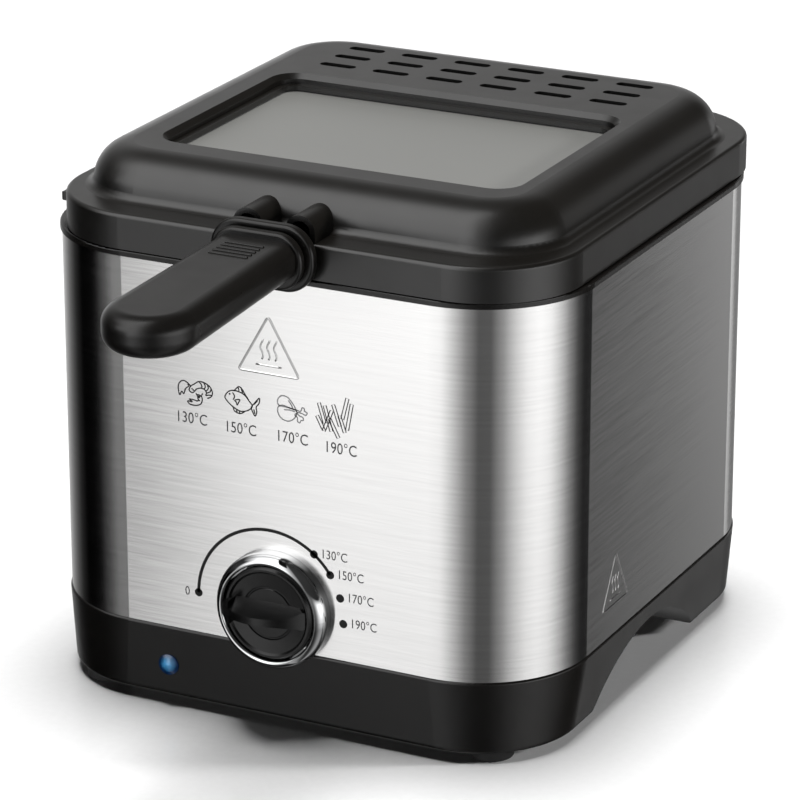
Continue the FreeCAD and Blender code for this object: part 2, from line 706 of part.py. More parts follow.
def thermostat_body():
    back = control_back()
    far = back + THERMOSTAT_DEPTH
    half_x, half_z = THERMOSTAT_HALF
    case = box((-half_x, half_x), (back, far), (KNOB_Z - half_z, KNOB_Z + half_z))
    neck = rod(vec(0, FRONT - NECK_REACH, KNOB_Z), vec(0, back + ROOT, KNOB_Z), NECK_R)
    blade_x, blade_z = BLADE_HALF
    blades = [box((s * BLADE_X - blade_x, s * BLADE_X + blade_x), (far, far + BLADE_LENGTH),
                  (KNOB_Z + BLADE_Z - blade_z, KNOB_Z + BLADE_Z + blade_z)) for s in (-1, 1)]
    head = rod(vec(0, far, KNOB_Z + HEAD_RISE), vec(0, far + HEAD_DEPTH, KNOB_Z + HEAD_RISE), HEAD_R)
    bore = rod(vec(0, FRONT - NECK_REACH - OVER, KNOB_Z), vec(0, FRONT + SHAFT_BEHIND, KNOB_Z),
               SHAFT_R + SNUG / 2)
    return case.fuse([neck] + blades + [head]).cut(bore)


def control_back():
    """Where the control's case starts, behind the sleeve and the bracket."""
    return FRONT + SHEET + BRACKET_PLATE_T


def thermostat_nut():
    flats, depth, ahead = CONTROL_NUT
    start = FRONT - ahead
    nut = hexagon_across_y(0, start, KNOB_Z, flats, depth)
    return nut.cut(rod(vec(0, start + OVER, KNOB_Z), vec(0, start - depth - OVER, KNOB_Z), NECK_R))


def thermostat_screws():
    head_r, head_depth = CONTROL_SCREW_HEAD
    screws = []
    for s in (-1, 1):
        at = vec(s * THERMOSTAT_SCREW_X, FRONT, KNOB_Z)
        head = rod(at, at - vec(0, head_depth, 0), head_r)
        shank = rod(at, at + vec(0, CONTROL_SCREW_LENGTH, 0), CONTROL_SCREW_R)
        screws.append(head.fuse(shank).removeSplitter())
    return screws


def capillary_bulb():
    """The thermostat's sensing bulb under the pot, and the thin tube that leads to the control."""
    z = POT_FLOOR - BULB_R
    y = BULB_Y
    left, right = BULB_ENDS
    bulb = rod(vec(left, y, z), vec(right, y, z), BULB_R)
    bulb = bulb.makeFillet(BULB_R / 2.5, [e for e in bulb.Edges if e.Closed])
    turn_x = left - 18.0
    head_z = KNOB_Z + HEAD_RISE
    head_y = control_back() + THERMOSTAT_DEPTH + HEAD_DEPTH
    line = bent_bar([vec(left + OVER, y, z), vec(turn_x, y, z), vec(turn_x, y, CAPILLARY_LOW),
                     vec(left + 10.0, y, CAPILLARY_LOW), vec(0, y, head_z), vec(0, head_y, head_z)],
                    CAPILLARY_BEND, CAPILLARY_R)
    return bulb.fuse(line)


def bulb_clips():
    return [saddle_clip(x, BULB_Y, POT_FLOOR, BULB_R, BULB_CLIP) for x in BULB_CLIP_XS]


def terminal_block():
    floor = FOOT_HEIGHT + BASE_WALL
    span_x, span_y, height = TERMINAL_BLOCK
    block = box(span_x, span_y, (floor, floor + height))
    block = block.makeFillet(1.0, [e for e in block.Edges if e.BoundBox.ZLength > height / 2])
    wells = []
    bores = []
    for x, y in terminal_spots():
        wells.append(Part.makeCylinder(WELL_R, height, vec(x, y, floor + WELL_FLOOR)))
        bores.append(rod(vec(x, span_y[0] - OVER, floor + LEAD_HEIGHT),
                         vec(x, span_y[1] + OVER, floor + LEAD_HEIGHT), LEAD_R + 2 * SNUG))
    return block.cut(wells + bores)


def terminal_spots():
    """Where the terminals' screws stand, in plan."""
    first_x, y = TERMINAL_FIRST
    return [(first_x + TERMINAL_PITCH * i, y) for i in range(TERMINALS)]


def terminal_screws():
    low = FOOT_HEIGHT + BASE_WALL + WELL_FLOOR
    return [Part.makeCylinder(WELL_R - 2 * SNUG, 4.5, vec(x, y, low)) for x, y in terminal_spots()]


def lead_routes():
    """Each insulated lead inside the base, as the points that it runs through."""
    low = FOOT_HEIGHT + BASE_WALL + 4.0
    high = FOOT_HEIGHT + BASE_WALL + LEAD_HEIGHT
    clear_y = TERMINAL_BLOCK[1][0] - OVER
    (live, _), (middle, _), (lamp, _) = terminal_spots()
    blade_y = control_back() + THERMOSTAT_DEPTH + BLADE_LENGTH
    blade_z = KNOB_Z + BLADE_Z
    leg_x = ELEMENT_LEG_X
    leg_y = ELEMENT_HALF
    pin_z = ELEMENT_LEG_END - ELEMENT_PIN[1] - ROOT
    return [
        [vec(live, clear_y, high), vec(live, 40, high), vec(BLADE_X, -20, low), vec(BLADE_X, -66, blade_z),
         vec(BLADE_X, blade_y, blade_z)],
        [vec(-BLADE_X, blade_y, blade_z), vec(-BLADE_X, -60, blade_z), vec(-leg_x, -10, 30),
         vec(-leg_x, leg_y, 30), vec(-leg_x, leg_y, pin_z)],
        [vec(middle, clear_y, high), vec(middle, 46, high), vec(leg_x, leg_y, 24), vec(leg_x, leg_y, pin_z)],
        [vec(lamp, clear_y, high), vec(lamp, 50, high), vec(30, 10, low), vec(LAMP_X, -60, low),
         vec(LAMP_X, FRONT + 22.3, LAMP_Z)],
    ]


def internal_leads():
    return [bent_bar(route, LEAD_BEND, LEAD_R) for route in lead_routes()]


def indicator_lens():
    back = vec(LAMP_X, FRONT + LENS_DEPTH, LAMP_Z)
    face = vec(LAMP_X, FRONT - LENS_PROUD, LAMP_Z)
    lens = rod(back, face, LENS_R)
    ball = Part.makeSphere(LENS_DOME_R, face + vec(0, math.sqrt(LENS_DOME_R ** 2 - LENS_R ** 2), 0))
    dome = ball.common(rod(face, face - vec(0, LENS_R, 0), LENS_R))
    return lens.fuse(dome).removeSplitter()


def lamp_holder():
    start = vec(LAMP_X, FRONT + HOLDER_START, LAMP_Z)
    end = start + vec(0, HOLDER_LENGTH, 0)
    ring = rod(start, end, LENS_R + LAMP_WALL)
    return ring.cut(rod(start - vec(0, OVER, 0), end + vec(0, OVER, 0), LENS_R + SNUG / 2))


def indicator_lamp():
    start = vec(LAMP_X, FRONT + LENS_DEPTH + OVER, LAMP_Z)
    glass = rod(start, start + vec(0, LAMP_LENGTH, 0), LAMP_R)
    return glass.makeFillet(LAMP_R * 0.75, closed_edges_at(glass, start.y))


def knob_bezel():
    """A chrome cup: a flat floor behind the knob and a rounded rim around it."""
    bore_r = NECK_R + SNUG
    chord = vec(BEZEL_R - BEZEL_CREST_R, 0, BEZEL_DEPTH - BEZEL_SIDE)
    outward = vec(chord.z, 0, chord.x) / chord.Length
    bulge = outward * (BEZEL_SWELL * chord.Length)
    middle = ((BEZEL_R + BEZEL_CREST_R) / 2 + bulge.x, (BEZEL_SIDE + BEZEL_DEPTH) / 2 + bulge.z)
    inner_middle = (BEZEL_MOUTH_R + 0.3, BEZEL_DEPTH - 0.3)
    mouth = (BEZEL_MOUTH_R, BEZEL_DEPTH - 1.0)

    def spot(radius, ahead):
        return vec(radius, FRONT - ahead, KNOB_Z)

    dome = Part.Arc(spot(BEZEL_R, BEZEL_SIDE), spot(*middle), spot(BEZEL_CREST_R, BEZEL_DEPTH)).toShape()
    lip = Part.Arc(spot(BEZEL_CREST_R, BEZEL_DEPTH), spot(*inner_middle), spot(*mouth)).toShape()
    rest = Part.makePolygon([spot(*mouth), spot(BEZEL_MOUTH_R, BEZEL_FLOOR), spot(bore_r, BEZEL_FLOOR),
                             spot(bore_r, SNUG), spot(BEZEL_R, SNUG), spot(BEZEL_R, BEZEL_SIDE)])
    profile = Part.Face(Part.Wire([dome, lip] + rest.Edges))
    bezel = profile.revolve(vec(0, 0, KNOB_Z), Y_AXIS, 360.0)
    head_r, head_depth = CONTROL_SCREW_HEAD
    heads = []
    for s in (-1, 1):
        x = s * THERMOSTAT_SCREW_X
        heads.append(rod(vec(x, FRONT + OVER, KNOB_Z), vec(x, FRONT - head_depth - SNUG, KNOB_Z),
                         head_r + SNUG))
    return bezel.cut(heads)


def cord_gland():
    wall = vec(GLAND_X, BODY_Y, GLAND_Z)
    flange = rod(wall, vec(GLAND_X, GLAND_BACK, GLAND_Z), GLAND_FLANGE[0])
    flange = flange.makeFillet(GLAND_FLANGE[1] / 2.5, closed_edges_at(flange, GLAND_BACK))
    inside = wall - vec(0, GLAND_DEPTH, 0)
    sleeve = rod(inside, wall, GLAND_SLEEVE_R)
    bore = rod(inside - vec(0, OVER, 0), vec(GLAND_X, GLAND_BACK + OVER, GLAND_Z), GLAND_BORE_R)
    return flange.fuse(sleeve).cut(bore)


def gland_nut():
    flats, depth, inside = GLAND_NUT
    back = BODY_Y - inside + depth
    nut = hexagon_across_y(GLAND_X, back, GLAND_Z, flats, depth)
    return nut.cut(rod(vec(GLAND_X, back + OVER, GLAND_Z), vec(GLAND_X, back - depth - OVER, GLAND_Z),
                       GLAND_SLEEVE_R))


def rating_plate():
    half_x, thickness, low, high = PLATE_OF_DATA
    return box((-half_x, half_x), (BODY_Y, BODY_Y + thickness), (low, high))


# ---------------------------------------------------------------- control knob
def control_knob():
    """A disc with a raised rim, a round groove and a finger bar, hollow behind for the nut."""
    face = KNOB_FACE
    dish = face - KNOB_DISH
    groove = dish - 0.5
    outer, inner = KNOB_GROOVE
    profile = [(0, KNOB_BACK), (KNOB_R - 0.4, KNOB_BACK), (KNOB_R, KNOB_BACK + 0.4), (KNOB_R, face - 1.0),
               (KNOB_R - 1.0, face), (KNOB_R - 1.8, face), (KNOB_R - 2.6, dish + 0.3), (outer, dish),
               (outer - 0.4, groove), (inner + 0.4, groove), (inner, dish), (0, dish)]
    disc = revolved_about_knob(profile)
    return disc.fuse(knob_grip()).cut(knob_socket()).removeSplitter()


def knob_grip():
    """The finger bar across the knob: arched along its length, hollowed above and below."""
    root = FRONT - KNOB_FACE + GRIP_ROOT
    dish = FRONT - KNOB_FACE + KNOB_DISH
    left_root = vec(GRIP_LEFT, root, KNOB_Z)
    right_root = vec(GRIP_RIGHT, root, KNOB_Z)
    left_end = left_root - vec(0, GRIP_END_HEIGHTS[0], 0)
    right_end = right_root - vec(0, GRIP_END_HEIGHTS[1], 0)
    top = vec(-1.0, dish - GRIP_HEIGHT, KNOB_Z)
    arch = Part.Wire([Part.LineSegment(left_root, left_end).toShape(),
                      Part.Arc(left_end, top, right_end).toShape(),
                      Part.LineSegment(right_end, right_root).toShape(),
                      Part.LineSegment(right_root, left_root).toShape()])
    bar = Part.Face(arch).extrude(vec(0, 0, 2 * GRIP_HALF))
    bar.translate(vec(0, 0, -GRIP_HALF))
    bar = bar.common(rounded_plan_bar(root))
    chord_mid = ((GRIP_HALF + GRIP_CREST) / 2.0, GRIP_HEIGHT / 2.0)
    chord = math.hypot(GRIP_HALF - GRIP_CREST, GRIP_HEIGHT)
    away = math.sqrt(GRIP_FLANK_R ** 2 - (chord / 2.0) ** 2)
    rise = chord_mid[0] + away * GRIP_HEIGHT / chord
    ahead = chord_mid[1] + away * (GRIP_HALF - GRIP_CREST) / chord
    for s in (-1, 1):
        axis = vec(GRIP_LEFT + GRIP_HALF, dish - ahead, KNOB_Z + s * rise)
        bar = bar.cut(rod(axis, axis + vec(2 * BEZEL_R, 0, 0), GRIP_FLANK_R))
    return bar


def rounded_plan_bar(root):
    """The finger bar seen from the front: one end round, the other drawn to a blunt point."""
    z = GRIP_HALF
    left_x = GRIP_LEFT + z
    taper_x = GRIP_RIGHT - GRIP_TAPER
    points = [vec(left_x, root, KNOB_Z - z), vec(GRIP_LEFT, root, KNOB_Z), vec(left_x, root, KNOB_Z + z),
              vec(taper_x, root, KNOB_Z + z), vec(GRIP_RIGHT, root, KNOB_Z + GRIP_BLUNT),
              vec(GRIP_RIGHT, root, KNOB_Z - GRIP_BLUNT), vec(taper_x, root, KNOB_Z - z)]
    edges = [Part.Arc(points[0], points[1], points[2]).toShape()]
    for a, b in zip(points[2:], points[3:] + points[:1]):
        edges.append(Part.LineSegment(a, b).toShape())
    return Part.Face(Part.Wire(edges)).extrude(vec(0, -3 * GRIP_HEIGHT, 0))


def knob_socket():
    """The blind hole for the shaft, and the room for the nut behind it."""
    start = vec(0, FRONT, KNOB_Z)
    round_hole = rod(start, start - vec(0, SHAFT_AHEAD, 0), SHAFT_R)
    nut_r, nut_depth = KNOB_NUT_ROOM
    return round_hole.fuse(rod(start, start - vec(0, nut_depth, 0), nut_r))


def control_shaft():
    return rod(vec(0, FRONT + SHAFT_BEHIND, KNOB_Z), vec(0, FRONT - SHAFT_AHEAD, KNOB_Z), SHAFT_R)


# ---------------------------------------------------------------- basket
def basket_mesh():
    outer = rounded_block(BASKET_X, BASKET_Y, BASKET_R, BASKET_BOTTOM, BASKET_TOP)
    outer = filleted(outer, BASKET_BOTTOM_R, BASKET_BOTTOM)
    skin = BASKET_SKIN
    inner = rounded_block(BASKET_X - skin, BASKET_Y - skin, BASKET_R - skin,
                          BASKET_BOTTOM + skin, BASKET_TOP + OVER)
    inner = filleted(inner, BASKET_BOTTOM_R - skin, BASKET_BOTTOM + skin)
    holes = [rod(vec(x, -BASKET_Y - OVER, z), vec(x, -BASKET_Y + skin + OVER, z), RIVET_R + SNUG / 2)
             for x, z in RIVETS]
    return outer.cut([inner] + holes)


def basket_rim():
    inset = RIM_WIRE_R * 0.8
    path = rounded_wire(BASKET_X - inset, BASKET_Y - inset, BASKET_R - inset, RIM_WIRE_Z)
    return tube_along(path, RIM_WIRE_R)


def basket_frame():
    side = BASKET_X + FRAME_WIRE_R + FRAME_WIRE_GAP
    low = BASKET_BOTTOM - FRAME_WIRE_R - FRAME_WIRE_GAP
    wires = []
    for y in FRAME_WIRE_YS:
        points = [vec(-side, y, RIM_WIRE_Z), vec(-side, y, low), vec(side, y, low), vec(side, y, RIM_WIRE_Z)]
        wires.append(bent_bar(points, BASKET_BOTTOM_R + FRAME_WIRE_R + FRAME_WIRE_GAP, FRAME_WIRE_R))
    return wires


def bracket_plate(y):
    """One upright plate of the bracket, with an eye for each prong of the handle."""
    top = PRONG_Z + EYE_R + BRACKET_T
    plate = box((-BRACKET_HALF, BRACKET_HALF), (y, y + BRACKET_T), (BRACKET_BOTTOM, top))
    corners = [e for e in plate.Edges if e.BoundBox.XLength < 1e-6 and e.BoundBox.ZLength < 1e-6]
    plate = plate.makeFillet(BRACKET_CORNER, corners)
    near = y - OVER
    far = y + BRACKET_T + OVER
    waist = box((-BRACKET_WAIST, BRACKET_WAIST), (near, far), (RIM_WIRE_Z + 3 * RIM_WIRE_R, top + OVER))
    eyes = [rod(vec(s * PRONG_X, near, PRONG_Z), vec(s * PRONG_X, far, PRONG_Z), EYE_R) for s in (-1, 1)]
    shanks = [rod(vec(x, near, z), vec(x, far, z), RIVET_R + SNUG / 2) for x, z in RIVETS]
    return plate.cut([waist] + eyes + shanks)


def basket_bracket():
    return [bracket_plate(BRACKET_FRONT), bracket_plate(BRACKET_INNER)]


def bracket_rivets():
    """Each rivet with the two spacers that hold the bracket's plates off the basket's wall."""
    rivets = []
    front = BRACKET_FRONT
    back = BRACKET_INNER + BRACKET_T
    head_r, head_height = RIVET_HEAD
    for x, z in RIVETS:
        shank = rod(vec(x, front - head_height, z), vec(x, back + head_height, z), RIVET_R)
        heads = [rod(vec(x, front - head_height, z), vec(x, front, z), head_r),
                 rod(vec(x, back, z), vec(x, back + head_height, z), head_r)]
        spacer = rod(vec(x, -BASKET_Y + BASKET_SKIN, z), vec(x, BRACKET_INNER, z), RIVET_SPACER_R)
        outer = rod(vec(x, front + BRACKET_T, z), vec(x, -BASKET_Y, z), RIVET_SPACER_R)
        rivets.append(shank.fuse(heads + [spacer, outer]).removeSplitter())
    return rivets


# ---------------------------------------------------------------- handle
def handle_wire(radius):
    """The steel loop inside the grip, whose two free ends are the prongs."""
    turn_y = HANDLE_TIP_Y + WIRE_TURN
    neck_y = COLLAR_BACK - COLLAR_FLANGE_T
    step_y = neck_y - WIRE_STEP
    half = [vec(PRONG_X, PRONG_TIP_Y, PRONG_Z), vec(PRONG_X, neck_y, PRONG_Z),
            vec(PRONG_X, step_y, GRIP_WIRE_Z), vec(PRONG_X, turn_y, GRIP_WIRE_Z)]
    points = half + [vec(-p.x, p.y, p.z) for p in reversed(half)]
    return bent_bar(points, WIRE_BEND, radius)


def handle_prongs():
    wire = handle_wire(PRONG_R)
    tips = [Part.makeSphere(PRONG_R, vec(s * PRONG_X, PRONG_TIP_Y, PRONG_Z)) for s in (-1, 1)]
    return wire.fuse(tips).removeSplitter()


def collar_block(half_x, half_z, radius, y0, y1):
    """A round-cornered plate that stands across the handle, from y0 forward to y1."""
    flat = rounded_block(half_x, half_z, radius, 0.0, y0 - y1)
    flat.rotate(vec(0, 0, 0), X_AXIS, 90.0)
    flat.translate(vec(0, y0, COLLAR_Z))
    return flat


def handle_collar():
    flange_front = COLLAR_BACK - COLLAR_FLANGE_T
    lip_back = flange_front - COLLAR_GROOVE
    lip_front = lip_back - COLLAR_LIP_T
    flange = collar_block(*COLLAR_FLANGE, COLLAR_BACK, flange_front)
    throat = collar_block(GRIP_NECK_HALF - ROOT, GRIP_EDGE + OVER, GRIP_EDGE,
                          flange_front + OVER, lip_back - OVER)
    lip = collar_block(*COLLAR_LIP, lip_back, lip_front)
    flange, lip = [plate.makeFillet(COLLAR_EDGE, [e for e in plate.Edges if e.BoundBox.YLength < 1e-6])
                   for plate in (flange, lip)]
    return flange.fuse([throat, lip]).cut(handle_wire(PRONG_R + HAIR)).removeSplitter()


def grip_block():
    """The whole grip before it is split: plan outline and side outline met, all edges rounded."""
    neck_y = GRIP_NECK_Y
    round_y = HANDLE_TIP_Y + GRIP_TIP_HALF
    tip = GRIP_TIP_HALF
    low = GRIP_TIP_Z[0] - OVER
    high = GRIP_NECK_Z[1] + OVER
    plan = Part.Wire([
        Part.LineSegment(vec(GRIP_NECK_HALF, neck_y, low), vec(-GRIP_NECK_HALF, neck_y, low)).toShape(),
        Part.LineSegment(vec(-GRIP_NECK_HALF, neck_y, low), vec(-tip, round_y, low)).toShape(),
        Part.Arc(vec(-tip, round_y, low), vec(0, HANDLE_TIP_Y, low), vec(tip, round_y, low)).toShape(),
        Part.LineSegment(vec(tip, round_y, low), vec(GRIP_NECK_HALF, neck_y, low)).toShape()])
    column = Part.Face(plan).extrude(vec(0, 0, high - low))
    x = -tip - OVER
    tip_y = HANDLE_TIP_Y - OVER
    side = Part.makePolygon([vec(x, neck_y, GRIP_NECK_Z[0]), vec(x, neck_y, GRIP_NECK_Z[1]),
                             vec(x, tip_y, GRIP_TIP_Z[1]), vec(x, tip_y, GRIP_TIP_Z[0]),
                             vec(x, neck_y, GRIP_NECK_Z[0])])
    slab = Part.Face(side).extrude(vec(-2 * x, 0, 0))
    block = column.common(slab)
    long_edges = [e for e in block.Edges if e.BoundBox.ZLength < 8.0 and e.BoundBox.YMin < neck_y - OVER]
    return block.makeFillet(GRIP_EDGE, long_edges)


def grip_cover_tool():
    """The space that the cover fills in the underside of the grip."""
    inset_x, inset_y = COVER_INSET
    half_y = (GRIP_NECK_Y - HANDLE_TIP_Y) / 2.0 - inset_y
    centre = (0.0, (GRIP_NECK_Y + HANDLE_TIP_Y) / 2.0)
    return rounded_block(GRIP_NECK_HALF - inset_x, half_y, inset_y, GRIP_TIP_Z[0] - OVER, COVER_TOP, centre)


def handle_grip():
    grip = grip_block()
    ribs = []
    for i in range(GRIP_RIBS):
        y = GRIP_RIB_FIRST - i * GRIP_RIB_PITCH
        top = grip_top(y)
        bar = box((-GRIP_RIB[0] / 2, GRIP_RIB[0] / 2), (y - GRIP_RIB[1] / 2, y + GRIP_RIB[1] / 2),
                  (top - ROOT, top + GRIP_RIB[2]))
        ribs.append(filleted(bar, GRIP_RIB_EDGE, top + GRIP_RIB[2]))
    shank_r, shank_length = COVER_SCREW
    pilots = [Part.makeCylinder(shank_r + SNUG / 2, shank_length + OVER, vec(0, y, COVER_TOP - OVER))
              for y in COVER_SCREW_YS]
    return grip.fuse(ribs).cut([grip_cover_tool(), handle_wire(PRONG_R + HAIR)] + pilots).removeSplitter()


def grip_top(y):
    """The height of the grip's upper face at y."""
    share = (GRIP_NECK_Y - y) / (GRIP_NECK_Y - HANDLE_TIP_Y + OVER)
    return GRIP_NECK_Z[1] + share * (GRIP_TIP_Z[1] - GRIP_NECK_Z[1])


def grip_cover():
    cover = grip_block().common(grip_cover_tool())
    head_r, head_height, head_z = COVER_SCREW_HEAD
    low = GRIP_TIP_Z[0] - OVER
    cuts = []
    for y in COVER_SCREW_YS:
        cuts.append(rod(vec(0, y, low), vec(0, y, head_z + head_height), head_r + 2 * SNUG))
        cuts.append(rod(vec(0, y, low), vec(0, y, COVER_TOP + OVER), COVER_SCREW[0] + 2 * SNUG))
    return cover.cut(cuts)


def grip_screws():
    screws = []
    head_r, head_height, head_z = COVER_SCREW_HEAD
    for y in COVER_SCREW_YS:
        head = Part.makeCylinder(head_r, head_height, vec(0, y, head_z))
        shank = Part.makeCylinder(*COVER_SCREW, vec(0, y, head_z + head_height))
        screws.append(head.fuse(shank).removeSplitter())
    return screws


# ---------------------------------------------------------------- lid
def lid_outer():
    at = (LID_SHIFT_X, 0.0)
    wall = rounded_block(LID_X, LID_Y, LID_R, LID_BOTTOM, LEDGE_TOP, (SKIRT_SHIFT_X, 0.0))
    wall = filleted(wall, LID_EDGE, LEDGE_TOP)
    dome = rounded_block(DOME_X, DOME_Y, DOME_R, LEDGE_TOP - OVER, LID_TOP, at)
    dome = filleted(dome, DOME_EDGE, LID_TOP)
    shell = wall.fuse(dome).removeSplitter()
    foot = [e for e in edges_at(shell, LEDGE_TOP)
            if abs(e.CenterOfMass.x - LID_SHIFT_X) < DOME_X + HAIR and abs(e.CenterOfMass.y) < DOME_Y + HAIR]
    return shell.makeFillet(DOME_FOOT_R, foot)


def lid_hollow():
    at = (LID_SHIFT_X, 0.0)
    t = LID_WALL
    wall = rounded_block(LID_X - t, LID_Y - t, LID_R - t, LID_BOTTOM - OVER, LEDGE_TOP - t,
                         (SKIRT_SHIFT_X, 0.0))
    dome = rounded_block(DOME_X - t, DOME_Y - t, DOME_R - t, LEDGE_TOP - t - OVER, LID_TOP - t, at)
    dome = filleted(dome, DOME_EDGE - t, LID_TOP - t)
    return wall.fuse(dome)


def tunnel(side, radius, y0, y1, z_low):
    """An arch along Y over one prong: a half round on straight legs that reach down to z_low."""
    x = LID_SHIFT_X + side * PRONG_X
    arch = rod(vec(x, y0, TUNNEL_Z), vec(x, y1, TUNNEL_Z), radius)
    legs = box((x - radius, x + radius), (y0, y1), (z_low, TUNNEL_Z))
    return arch.fuse(legs)


def window_block(grow, z0, z1):
    half_x, half_y, radius = WINDOW
    return rounded_block(half_x + grow, half_y + grow, radius + grow, z0, z1, (TOP_SHIFT_X, WINDOW_Y))


def lid_ribs():
    """Fins inside the lid's wall that stand on the pot's flange."""
    low = RIM_TOP + POT_FLANGE_T + CLEAR
    high = LEDGE_TOP - LID_WALL + ROOT
    ribs = []
    for s in (-1, 1):
        x_span = sorted((SKIRT_SHIFT_X + s * (LID_X - RIB_REACH_X),
                         SKIRT_SHIFT_X + s * (LID_X - LID_WALL + ROOT)))
        y_span = sorted((s * (LID_Y - RIB_REACH_Y), s * (LID_Y - LID_WALL + ROOT)))
        for at in (-RIB_AT, RIB_AT):
            across = (at - RIB_HALF, at + RIB_HALF)
            ribs.append(box(x_span, across, (low, high)))
            ribs.append(box(across, y_span, (low, high)))
    return ribs


def lid_shell():
    tunnels = [tunnel(s, TUNNEL_R, TUNNEL_FRONT, TUNNEL_BACK, LEDGE_TOP - LID_WALL + ROOT) for s in (-1, 1)]
    shell = lid_outer().fuse(tunnels).cut(lid_hollow())
    pocket = window_block(POCKET_WALL, LENS_TOP + GASKET_T, LID_TOP - LID_WALL + ROOT)
    shell = shell.fuse([pocket] + lid_ribs() + screw_bosses()).cut(window_mouth())
    low = LID_BOTTOM - OVER
    bores = [tunnel(s, TUNNEL_BORE_R, -LID_Y - OVER, TUNNEL_BACK + 2 * OVER, low) for s in (-1, 1)]
    cutout = box((LID_SHIFT_X - CUTOUT_HALF, LID_SHIFT_X + CUTOUT_HALF),
                 (-LID_Y - OVER, -LID_Y + LID_WALL + ROOT), (low, LEDGE_TOP - LID_WALL))
    shell = shell.cut(bores + [cutout] + vents() + boss_pilots())
    return shell.fuse(lid_tab()).removeSplitter()


def lid_tab():
    """The small tongue on the lid's left wall."""
    length, width, height = TAB
    y, z = TAB_AT
    outer = SKIRT_SHIFT_X - LID_X - length + TAB_SUNK
    tab = box((outer, outer + length), (y - width / 2, y + width / 2), (z, z + height))
    return tab.makeFillet(TAB_EDGE, [e for e in tab.Edges if e.BoundBox.XLength < 1e-6])


def window_mouth():
    """The stepped opening over the glass, its upper edge rounded."""
    step_z = LID_TOP - WINDOW_WALL
    upper = window_block(0.0, step_z, LID_TOP + OVER)
    lower = window_block(-WINDOW_STEP, retainer_z()[1], step_z + OVER)
    half_x, half_y, radius = WINDOW
    at = (TOP_SHIFT_X, WINDOW_Y)
    flare = Part.makeLoft([rounded_wire(half_x, half_y, radius, LID_TOP - WINDOW_LIP, at),
                           rounded_wire(half_x + WINDOW_LIP, half_y + WINDOW_LIP, radius + WINDOW_LIP,
                                        LID_TOP, at)], True)
    return upper.fuse([lower, flare])


def vents():
    cuts = []
    for y in VENT_ROWS:
        for i in range(VENT_COLUMNS):
            x = TOP_SHIFT_X + (i - (VENT_COLUMNS - 1) / 2.0) * VENT_PITCH
            cuts.append(slot_block(x, y, *VENT, LID_TOP - LID_WALL - OVER, LID_TOP + OVER))
    return cuts


def retainer_screw_spots():
    """Where the six screws of the window's frame stand, in plan."""
    reach_x = WINDOW[0] + SCREW_OUT
    reach_y = WINDOW[1] + SCREW_OUT
    spots = [(s * SCREW_SPREAD, t * reach_y) for s in (-1, 1) for t in (-1, 1)]
    spots += [(s * reach_x, 0.0) for s in (-1, 1)]
    return [(TOP_SHIFT_X + x, WINDOW_Y + y) for x, y in spots]


def retainer_z():
    """The lower and upper face of the frame that holds the glass."""
    glass_bottom = LENS_TOP - GLASS_T
    return glass_bottom - RETAINER_T, glass_bottom


def screw_bosses():
    top = LID_TOP - LID_WALL + ROOT
    low = retainer_z()[1]
    return [Part.makeCylinder(WINDOW_BOSS_R, top - low, vec(x, y, low)) for x, y in retainer_screw_spots()]


def boss_pilots():
    low = retainer_z()[1] - ROOT
    _, _, shank_r, shank_length = WINDOW_SCREW
    return [Part.makeCylinder(shank_r + SNUG, shank_length, vec(x, y, low))
            for x, y in retainer_screw_spots()]


def window_gasket():
    ring = window_block(GLASS_GROW, LENS_TOP, LENS_TOP + GASKET_T)
    return ring.cut(window_block(-SEAL_INSET, LENS_TOP - OVER, LENS_TOP + GASKET_T + OVER))


def window_glass():
    return window_block(GLASS_GROW, LENS_TOP - GLASS_T, LENS_TOP)


def window_retainer():
    low, high = retainer_z()
    frame = window_block(RETAINER_REACH, low, high)
    frame = frame.cut(window_block(-WINDOW_STEP - OVER, low - OVER, high + OVER))
    shank_r = WINDOW_SCREW[2]
    holes = [Part.makeCylinder(shank_r + CLEAR, RETAINER_T + 2 * OVER, vec(x, y, low - OVER))
             for x, y in retainer_screw_spots()]
    return frame.cut(holes)


def retainer_screws():
    low = retainer_z()[0]
    head_r, head_height, shank_r, shank_length = WINDOW_SCREW
    screws = []
    for x, y in retainer_screw_spots():
        head = Part.makeCylinder(head_r, head_height, vec(x, y, low - head_height))
        shank = Part.makeCylinder(shank_r, shank_length, vec(x, y, low))
        screws.append(head.fuse(shank).removeSplitter())
    return screws


def filter_pad():
    half_x, half_y, height = FILTER
    at = (TOP_SHIFT_X, FILTER_Y)
    return rounded_block(half_x, half_y, FILTER_R, FILTER_BOTTOM, FILTER_BOTTOM + height, at)


def filter_cover():
    """A slotted tray that snaps up under the vents and holds the filter pad."""
    half_x, half_y, _ = FILTER
    at = (TOP_SHIFT_X, FILTER_Y)
    low = FILTER_BOTTOM - COVER_FLOOR
    tray = rounded_block(half_x + COVER_WALL, half_y + COVER_WALL, FILTER_R + COVER_WALL,
                         low, LID_TOP - LID_WALL, at)
    tray = tray.cut(rounded_block(half_x + SNUG, half_y + SNUG, FILTER_R + SNUG, FILTER_BOTTOM, LID_TOP, at))
    slots = []
    for y in COVER_SLOT_ROWS:
        for i in range(COVER_SLOT_COLUMNS):
            x = TOP_SHIFT_X + (i - (COVER_SLOT_COLUMNS - 1) / 2.0) * COVER_SLOT_PITCH
            slots.append(slot_block(x, FILTER_Y + y, *COVER_SLOT, low - OVER, FILTER_BOTTOM + OVER / 2))
    return tray.cut(slots)


